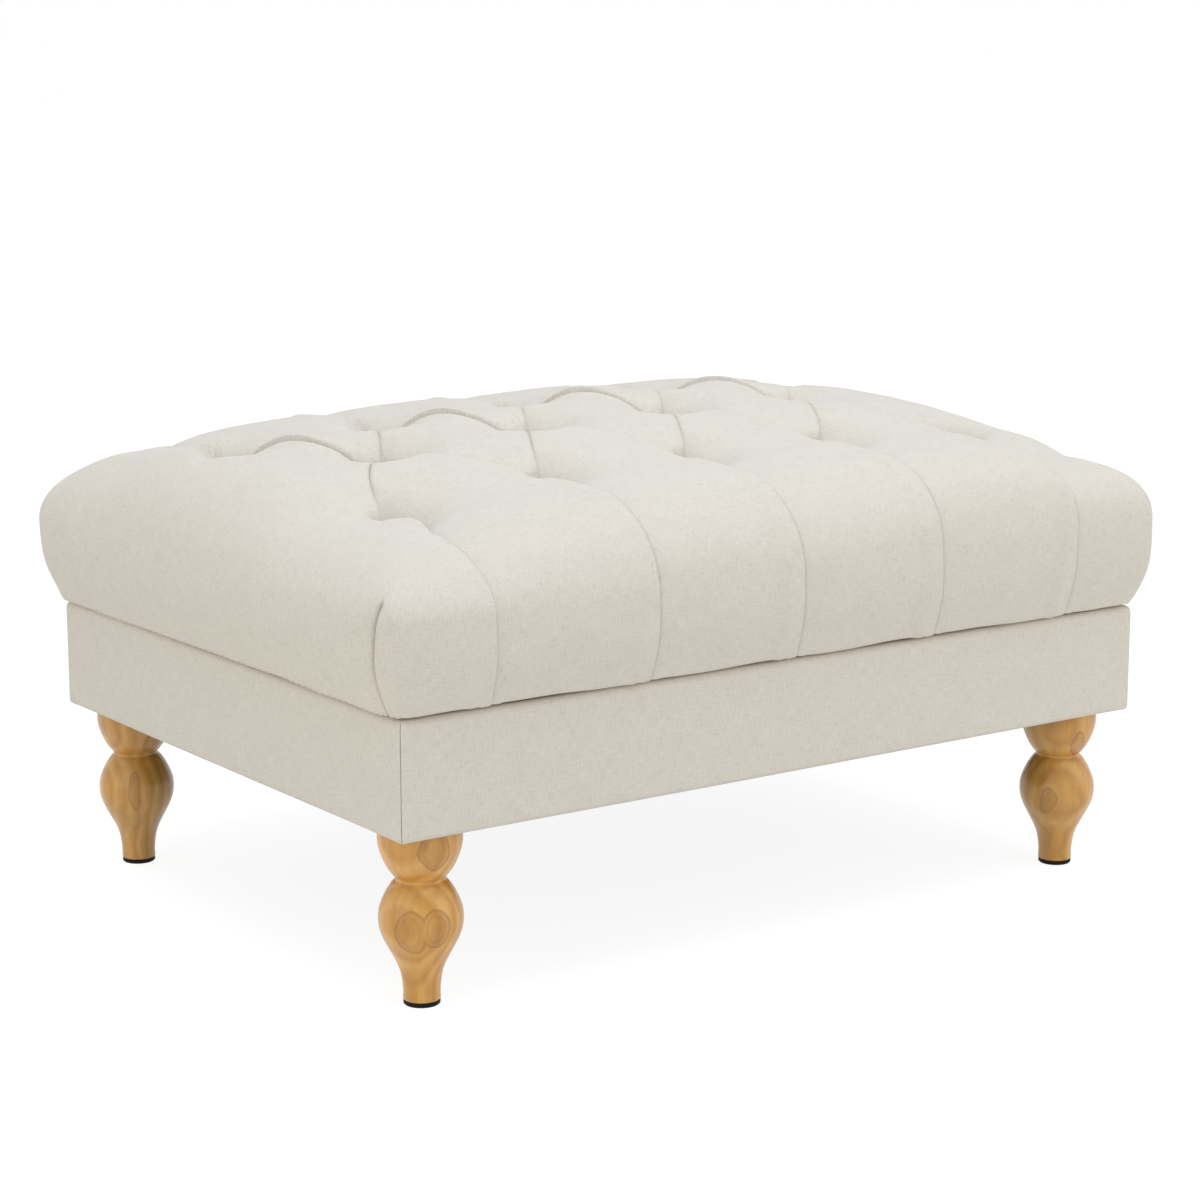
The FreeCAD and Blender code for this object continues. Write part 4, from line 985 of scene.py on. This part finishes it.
class POUF_OT_plinth(bpy.types.Operator):
    """Makes the wadding and the four cloth panels round the plinth"""
    bl_idname = "pouf.plinth"
    bl_label = "Plinth cloth"

    def execute(self, context):
        sizes = context.scene.pouf_plinth
        boxes = [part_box("plinth_cover_" + s) for s in SIDES]
        low = Vector([min(b[0][i] for b in boxes) for i in range(3)])
        high = Vector([max(b[1][i] for b in boxes) for i in range(3)])
        for side in SIDES:
            piece, along, across = panel_mesh("plinth_cloth_" + side, low, high, side, sizes)
            thicken(piece, sizes.cloth)
            finish(piece, linen_of(context.scene), "linen", "plinth_cover_" + side)
        self.wadding(sizes)
        return {"FINISHED"}

    def wadding(self, sizes):
        """A thin band under the cloth, with its corners rounded as the cloth's are."""
        low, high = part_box("plinth_padding")
        clear = 0.4 * MM
        bpy.ops.object.select_all(action="DESELECT")
        bpy.ops.mesh.primitive_cube_add(size=1, location=(0, 0, (low.z + high.z) / 2))
        band = bpy.context.object
        band.name = "plinth_wadding"
        band.scale = (2 * (high.x - clear), 2 * (high.y - clear), high.z - low.z)
        bpy.ops.object.transform_apply(location=True, rotation=True, scale=True)
        bpy.ops.object.mode_set(mode="EDIT")
        mesh = bmesh.from_edit_mesh(band.data)
        bpy.ops.mesh.select_all(action="DESELECT")
        bpy.ops.mesh.select_mode(type="FACE")
        for face in mesh.faces:
            face.select_set(abs(face.normal.z) > 0.5)
        bpy.ops.mesh.delete(type="ONLY_FACE")
        bpy.ops.mesh.select_mode(type="EDGE")
        bpy.ops.mesh.select_all(action="DESELECT")
        mesh = bmesh.from_edit_mesh(band.data)
        for edge in mesh.edges:
            edge.select_set(abs(edge.verts[0].co.z - edge.verts[1].co.z) > 0.01)
        bmesh.update_edit_mesh(band.data)
        bpy.ops.mesh.bevel(offset=sizes.corner_round, segments=6, affect="EDGES")
        bpy.ops.object.mode_set(mode="OBJECT")
        thicken(band, 2.5 * MM)
        finish(band, bpy.data.materials["polyester_felt"], "padding", "plinth_padding")


# The leg's outline in millimetres, from the foot up to the plinth: height over the foot of
# the glide, and radius. Between these the curve is drawn in steps of at most LEG_STEP.
LEG_PROFILE = (
    (4.0, 14.6), (4.7, 15.25), (8.0, 15.35), (12.6, 15.4), (20, 16.1), (28, 17.5), (36, 20.4),
    (43, 24.0), (50.5, 28.0), (57, 31.2), (63.5, 33.6), (70, 34.75), (75.3, 34.9), (80.6, 34.3),
    (86, 32.7), (91.4, 30.4), (95.8, 28.2), (99.5, 25.9), (102.2, 24.1), (103.9, 22.7), (104.9, 21.4),
    (105.8, 20.6), (107.0, 20.45), (108.0, 20.9), (109.3, 22.2), (112.1, 24.4), (115.8, 27.0),
    (120.4, 29.4), (125.0, 31.4), (129.5, 33.0), (134.0, 34.2), (138.4, 34.8), (143.8, 34.9),
    (149.9, 34.9),
)
LEG_STEP = 2.0

# For each leg the heart of its trunk (x and y in metres from the leg), the trunk's lean,
# a seed, a factor on its colour that paints light and shade (below 1 for the legs that stand
# more in shade, a little over 1 for the near leg in front), and the ovals on it: direction
# in degrees, height, distance from the leg's middle, half width and half height in millimetres.
LEG_GRAIN = {
    "front_left": ((0.090, 0.050), (0.05, -0.04, 0), 1.0, 1.02,
                   ((-137, 69, 33, 14.5, 18), (-101, 73, 33, 12.5, 17), (-100, 137, 33, 13.5, 20))),
    "front_right": ((0.070, 0.095), (-0.04, 0.05, 0), 4.0, 0.93,
                    ((-95, 118, 30, 9, 17), (-150, 66, 33, 8, 16))),
    "back_left": ((0.100, -0.035), (0.03, 0.05, 0), 7.0, 0.90,
                  ((-120, 76, 33, 6, 24), (-85, 121, 31, 11, 13))),
    "back_right": ((-0.085, 0.060), (-0.05, 0.02, 0), 9.0, 0.96,
                   ((-110, 70, 33, 12, 18), (40, 75, 33, 10, 18))),
}


def leg_middle(corner):
    low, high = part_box("leg_" + corner)
    return (low + high) / 2


class POUF_OT_legs(bpy.types.Operator):
    """Turns the four legs"""
    bl_idname = "pouf.legs"
    bl_label = "Turned legs"

    def execute(self, context):
        middle = leg_middle(LEGS[0])
        turned = self.turn(context.scene.pouf_legs.facets, middle)
        colours = chosen_colours(context.scene, "wood_pale", "wood", "wood_dark")
        for corner in LEGS:
            spot = leg_middle(corner)
            piece = add_object("turned_leg_" + corner, turned.data.copy())
            piece.data.transform(Matrix.Translation((spot.x - middle.x, spot.y - middle.y, 0)))
            # tone is the leg's painted light and shade, a factor on its colour.
            off, lean, seed, tone, figure = LEG_GRAIN[corner]
            heart = (-(spot.x + off[0]), -(spot.y + off[1]), 0)
            ovals = []
            for turn, height, reach, wide, tall in figure:
                a, reach = math.radians(turn), reach * MM
                centre = (spot.x + reach * math.cos(a), spot.y + reach * math.sin(a), height * MM)
                ovals.append((centre, wide * MM, tall * MM))
            wood = lacquered_wood("lacquered_wood_" + corner, heart, lean, ovals, colours, seed, tone)
            finish(piece, wood, "leg_wood", "leg_" + corner)
        bpy.data.objects.remove(turned)
        return {"FINISHED"}

    def turn(self, facets, middle):
        """One leg, from a disc at its foot that is extruded up along the outline."""
        stations = [p[0] for p in LEG_PROFILE]
        heights = [np.linspace(a, b, max(1, math.ceil((b - a) / LEG_STEP)), endpoint=False)
                   for a, b in zip(stations, stations[1:])]
        heights = np.concatenate(heights + [stations[-1:]])
        radii = smooth_curve(heights, LEG_PROFILE) * MM
        heights = heights * MM
        level, wide = heights[0], radii[0]
        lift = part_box("glide_front_left")[1].z - level
        bpy.ops.object.select_all(action="DESELECT")
        bpy.ops.mesh.primitive_circle_add(vertices=facets, radius=wide, fill_type="TRIFAN",
                                          location=(middle.x, middle.y, level + lift))
        piece = bpy.context.object
        bpy.ops.object.transform_apply(location=True, rotation=True, scale=True)
        bpy.ops.object.mode_set(mode="EDIT")
        bpy.ops.mesh.select_all(action="DESELECT")
        bpy.ops.mesh.select_mode(type="EDGE")
        for edge in bmesh.from_edit_mesh(piece.data).edges:
            edge.select_set(edge.is_boundary)
        bmesh.update_edit_mesh(piece.data)
        for z, r in zip(heights[1:], radii[1:]):
            bpy.ops.mesh.extrude_region_move(TRANSFORM_OT_translate={"value": (0, 0, z - level)})
            bpy.ops.transform.resize(value=(r / wide, r / wide, 1),
                                     center_override=(middle.x, middle.y, z + lift))
            level, wide = z, r
        bpy.ops.mesh.edge_face_add()
        bpy.ops.mesh.select_all(action="SELECT")
        bpy.ops.mesh.normals_make_consistent(inside=False)
        bpy.ops.object.mode_set(mode="OBJECT")
        only(piece)
        bpy.ops.object.shade_smooth_by_angle(angle=math.radians(40))
        return piece


class POUF_OT_dust_cover(bpy.types.Operator):
    """Makes the cloth that closes the frame underneath"""
    bl_idname = "pouf.dust_cover"
    bl_label = "Dust cover"

    def execute(self, context):
        low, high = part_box("dust_cover")
        border = 0.03
        bpy.ops.object.select_all(action="DESELECT")
        bpy.ops.mesh.primitive_plane_add(size=1, location=(low + high) / 2)
        piece = context.object
        piece.name = "dust_cloth"
        piece.scale = (high.x - low.x, high.y - low.y, 1)
        bpy.ops.object.transform_apply(location=True, rotation=True, scale=True)
        bpy.ops.object.mode_set(mode="EDIT")
        bpy.ops.mesh.select_all(action="SELECT")
        bpy.ops.mesh.subdivide(number_cuts=47)
        bpy.ops.object.mode_set(mode="OBJECT")
        # It hangs down by 2 mm inside its stapled border, with faint wrinkles.
        for vertex in piece.data.vertices:
            x, y = vertex.co.x, vertex.co.y
            inner_x = max(0.0, 1 - abs(x / (high.x - border)) ** 4)
            inner_y = max(0.0, 1 - abs(y / (high.y - border)) ** 4)
            wrinkle = noise.noise(Vector((x * 9, y * 9, 0.4)))
            vertex.co.z -= inner_x * inner_y * (0.0022 + 0.0012 * wrinkle)
        thicken(piece, 0.4 * MM, offset=0)
        bpy.ops.object.shade_smooth()
        finish(piece, bpy.data.materials["spunbond_cloth"], "dust_cloth", "dust_cover")
        return {"FINISHED"}


class POUF_OT_frame_finish(bpy.types.Operator):
    """Gives the frame, its hardware and the glides their finishes"""
    bl_idname = "pouf.frame_finish"
    bl_label = "Frame finishes"

    def execute(self, context):
        glide, shade, fleck = chosen_colours(context.scene, "glide", "linen_shade", "linen_fleck")
        # Moulded nylon: nearly black, with a fine dull grain of the mould.
        nylon = plain_finish("moulded_nylon", glide, linear("#1d1a15"), 1.5 * MM, 0.5, specular=0.12)
        # Sawn pine: pale, with long faint grain along the rail.
        sawn = (linear("#c9a878"), linear("#dfc79b"), 9 * MM, 0.75)
        pine = plain_finish("sawn_pine", *sawn, stretch=(0.12, 1, 1), bump_depth=0.2 * MM)
        pine_y = plain_finish("sawn_pine_across", *sawn, stretch=(1, 0.12, 1), bump_depth=0.2 * MM)
        # Birch plywood: smooth pale face veneer with broad figure.
        plywood = plain_finish("birch_plywood", linear("#d2b78c"), linear("#e3cfa8"), 22 * MM, 0.6,
                               stretch=(0.15, 1, 1))
        # Polyester felt: white, matted fibres.
        felt = plain_finish("polyester_felt", linear("#d9d8d4"), linear("#efeeea"), 2 * MM, 0.95)
        # Spunbonded polypropylene: thin black cloth with a faint dimpled web.
        spunbond = plain_finish("spunbond_cloth", linear("#1b1b1c"), linear("#2e2e30"), 1.2 * MM, 0.85)
        # Waxed flax twine: straw brown, twisted.
        twine = plain_finish("flax_twine", linear("#a08a62"), linear("#c3ad84"), 1.2 * MM, 0.8)
        # Bright zinc plate on steel: bluish grey with a cloudy, fairly dull gloss.
        zinc = plain_finish("zinc_plated_steel", linear("#9da1a6"), linear("#c2c6ca"), 3 * MM, 0.35,
                            metallic=1.0)
        # Button cloth: the same woven linen as the cover.
        button = plain_finish("linen_buttons", shade, fleck, 1.1 * MM, 0.92)
        by_name = {
            "glide_": nylon, "front_rail": pine, "back_rail": pine, "left_rail": pine_y,
            "right_rail": pine_y, "left_brace": pine_y, "right_brace": pine_y, "corner_block_": pine,
            "seat_board": plywood, "plinth_padding": felt, "tuft_twines": twine, "tuft_buttons": button,
            "tuft_washers": zinc, "hanger_bolts": zinc, "glide_nails": zinc, "frame_screws": zinc,
            "seat_board_screws": zinc, "tee_nut_": zinc, "dust_cover_staples": zinc,
            "seat_cover_staples": zinc, "plinth_cover_staples": zinc, "dust_cover": spunbond,
            "seat_foam": felt, "tufted_cover": felt, "plinth_cover_": felt, "leg_": pine,
        }
        for name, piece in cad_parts.items():
            kinds = [k for k in by_name if k.endswith("_") and name.startswith(k)]
            piece.data.materials.clear()
            piece.data.materials.append(by_name[name if name in by_name else kinds[0]])
        return {"FINISHED"}


# Each lamp's name, place, watts, width and length, and tint. All point at LAMPS_AT.
STUDIO_LAMPS = (
    ("top_softbox", (-0.1, -0.5, 2.65), 35, (2.6, 2.0), "#e9eeff"),
    ("front_softbox", (1.6, -2.6, 1.3), 13.2, (2.0, 1.6), "#fff7ea"),
    ("left_fill", (-3.0, -0.4, 0.7), 10.9, (1.8, 1.6), "#fff5e4"),
)
LAMPS_AT = Vector((0, 0, 0.25))
# The camera's place, how far it looks down and turns to the right in degrees, its focal
# length and its sensor's width in millimetres.
CAMERA_PLACE = (-1.5688, -2.2168, 0.7944)
LOOKS_DOWN, TURNS_RIGHT = 11.28, 35.36
FOCAL_LENGTH, SENSOR = 88.8, 36


def white_floor():
    """Matt white studio floor: the camera sees it pure white but for the object's soft shadow."""
    material, tree = new_material("white_floor")
    path = node(tree, "LightPath")
    bounce = node(tree, "BsdfDiffuse", {"Color": linear("#f3f1ed")})
    shown = node(tree, "BsdfDiffuse", {"Color": grey(0.25)})
    lit = node(tree, "Emission", {"Color": grey(1.0), "Strength": 0.88})
    seen = node(tree, "AddShader", {0: shown, 1: lit})
    either = node(tree, "Math", {0: path.outputs["Is Camera Ray"], 1: path.outputs["Is Glossy Ray"]},
                  operation="MAXIMUM")
    mixed = node(tree, "MixShader", {0: either, 1: bounce, 2: seen})
    node(tree, "OutputMaterial", {"Surface": mixed})
    return material


class POUF_OT_studio(bpy.types.Operator):
    """Makes the floor, the lamps and the camera"""
    bl_idname = "pouf.studio"
    bl_label = "Studio"

    def execute(self, context):
        scene = context.scene
        bpy.ops.object.select_all(action="DESELECT")
        bpy.ops.mesh.primitive_plane_add(size=40, location=(0, 0, 0))
        floor = context.object
        floor.name = "studio_floor"
        floor.data.materials.append(white_floor())
        scene.world = self.sky()
        for name, place, power, wide, tint in STUDIO_LAMPS:
            lamp = bpy.data.lights.new(name, "AREA")
            lamp.energy = power
            lamp.color = linear(tint)[:3]
            lamp.shape = "RECTANGLE"
            lamp.size, lamp.size_y = wide
            holder = add_object(name, lamp)
            holder.location = place
            holder.rotation_euler = (LAMPS_AT - Vector(place)).to_track_quat("-Z", "Y").to_euler()
        view = bpy.data.cameras.new("camera")
        view.lens = FOCAL_LENGTH
        view.sensor_width = SENSOR
        view.clip_end = 100
        camera = add_object("camera", view)
        camera.location = CAMERA_PLACE
        camera.rotation_euler = (math.radians(90 - LOOKS_DOWN), 0, math.radians(-TURNS_RIGHT))
        scene.camera = camera
        scene.view_settings.view_transform = "Standard"
        return {"FINISHED"}

    def sky(self):
        """Soft light from all round, which the camera and reflections see as white."""
        world = bpy.data.worlds.new("studio")
        world.use_nodes = True
        tree = world.node_tree
        tree.nodes.clear()
        path = node(tree, "LightPath")
        seen = node(tree, "Math", {0: path.outputs["Is Camera Ray"], 1: path.outputs["Is Glossy Ray"]},
                    operation="MAXIMUM")
        through = node(tree, "Math", {0: seen, 1: path.outputs["Is Transmission Ray"]},
                       operation="MAXIMUM")
        soft = node(tree, "Background", {"Color": linear("#fcfdfd"), "Strength": 0.62})
        white = node(tree, "Background", {"Color": grey(1.0), "Strength": 1.0})
        both = node(tree, "MixShader", {0: through, 1: soft, 2: white})
        node(tree, "OutputWorld", {"Surface": both})
        return world


class POUF_PT_panel(bpy.types.Panel):
    """Lists the pouf's pieces and sizes"""
    bl_label = "Tufted pouf"
    bl_idname = "POUF_PT_panel"
    bl_space_type = "VIEW_3D"
    bl_region_type = "UI"
    bl_category = "Pouf"

    def draw(self, context):
        for group in GROUPS:
            box = self.layout.box()
            settings = getattr(context.scene, group)
            for name in settings.bl_rna.properties.keys():
                if name not in ("rna_type", "name"):
                    box.prop(settings, name)
        for name in STEPS:
            self.layout.operator("pouf." + name)


GROUPS = {"pouf_cushion": CushionSizes, "pouf_plinth": PlinthSizes, "pouf_legs": LegSizes,
          "pouf_finish": FinishColours}
STEPS = ("studio", "frame_finish", "cushion", "plinth", "legs", "dust_cover")
CLASSES = (CushionSizes, PlinthSizes, LegSizes, FinishColours, POUF_OT_studio, POUF_OT_frame_finish,
           POUF_OT_cushion, POUF_OT_plinth, POUF_OT_legs, POUF_OT_dust_cover, POUF_PT_panel)


def register():
    for made in CLASSES:
        bpy.utils.register_class(made)
    for name, group in GROUPS.items():
        setattr(bpy.types.Scene, name, bpy.props.PointerProperty(type=group))


def unregister():
    for name in GROUPS:
        delattr(bpy.types.Scene, name)
    for made in reversed(CLASSES):
        bpy.utils.unregister_class(made)


def main():
    register()
    bpy.ops.pouf.studio()
    bpy.ops.pouf.frame_finish()
    bpy.ops.pouf.cushion()
    bpy.ops.pouf.plinth()
    bpy.ops.pouf.legs()
    bpy.ops.pouf.dust_cover()


if __name__ == "__main__":
    main()
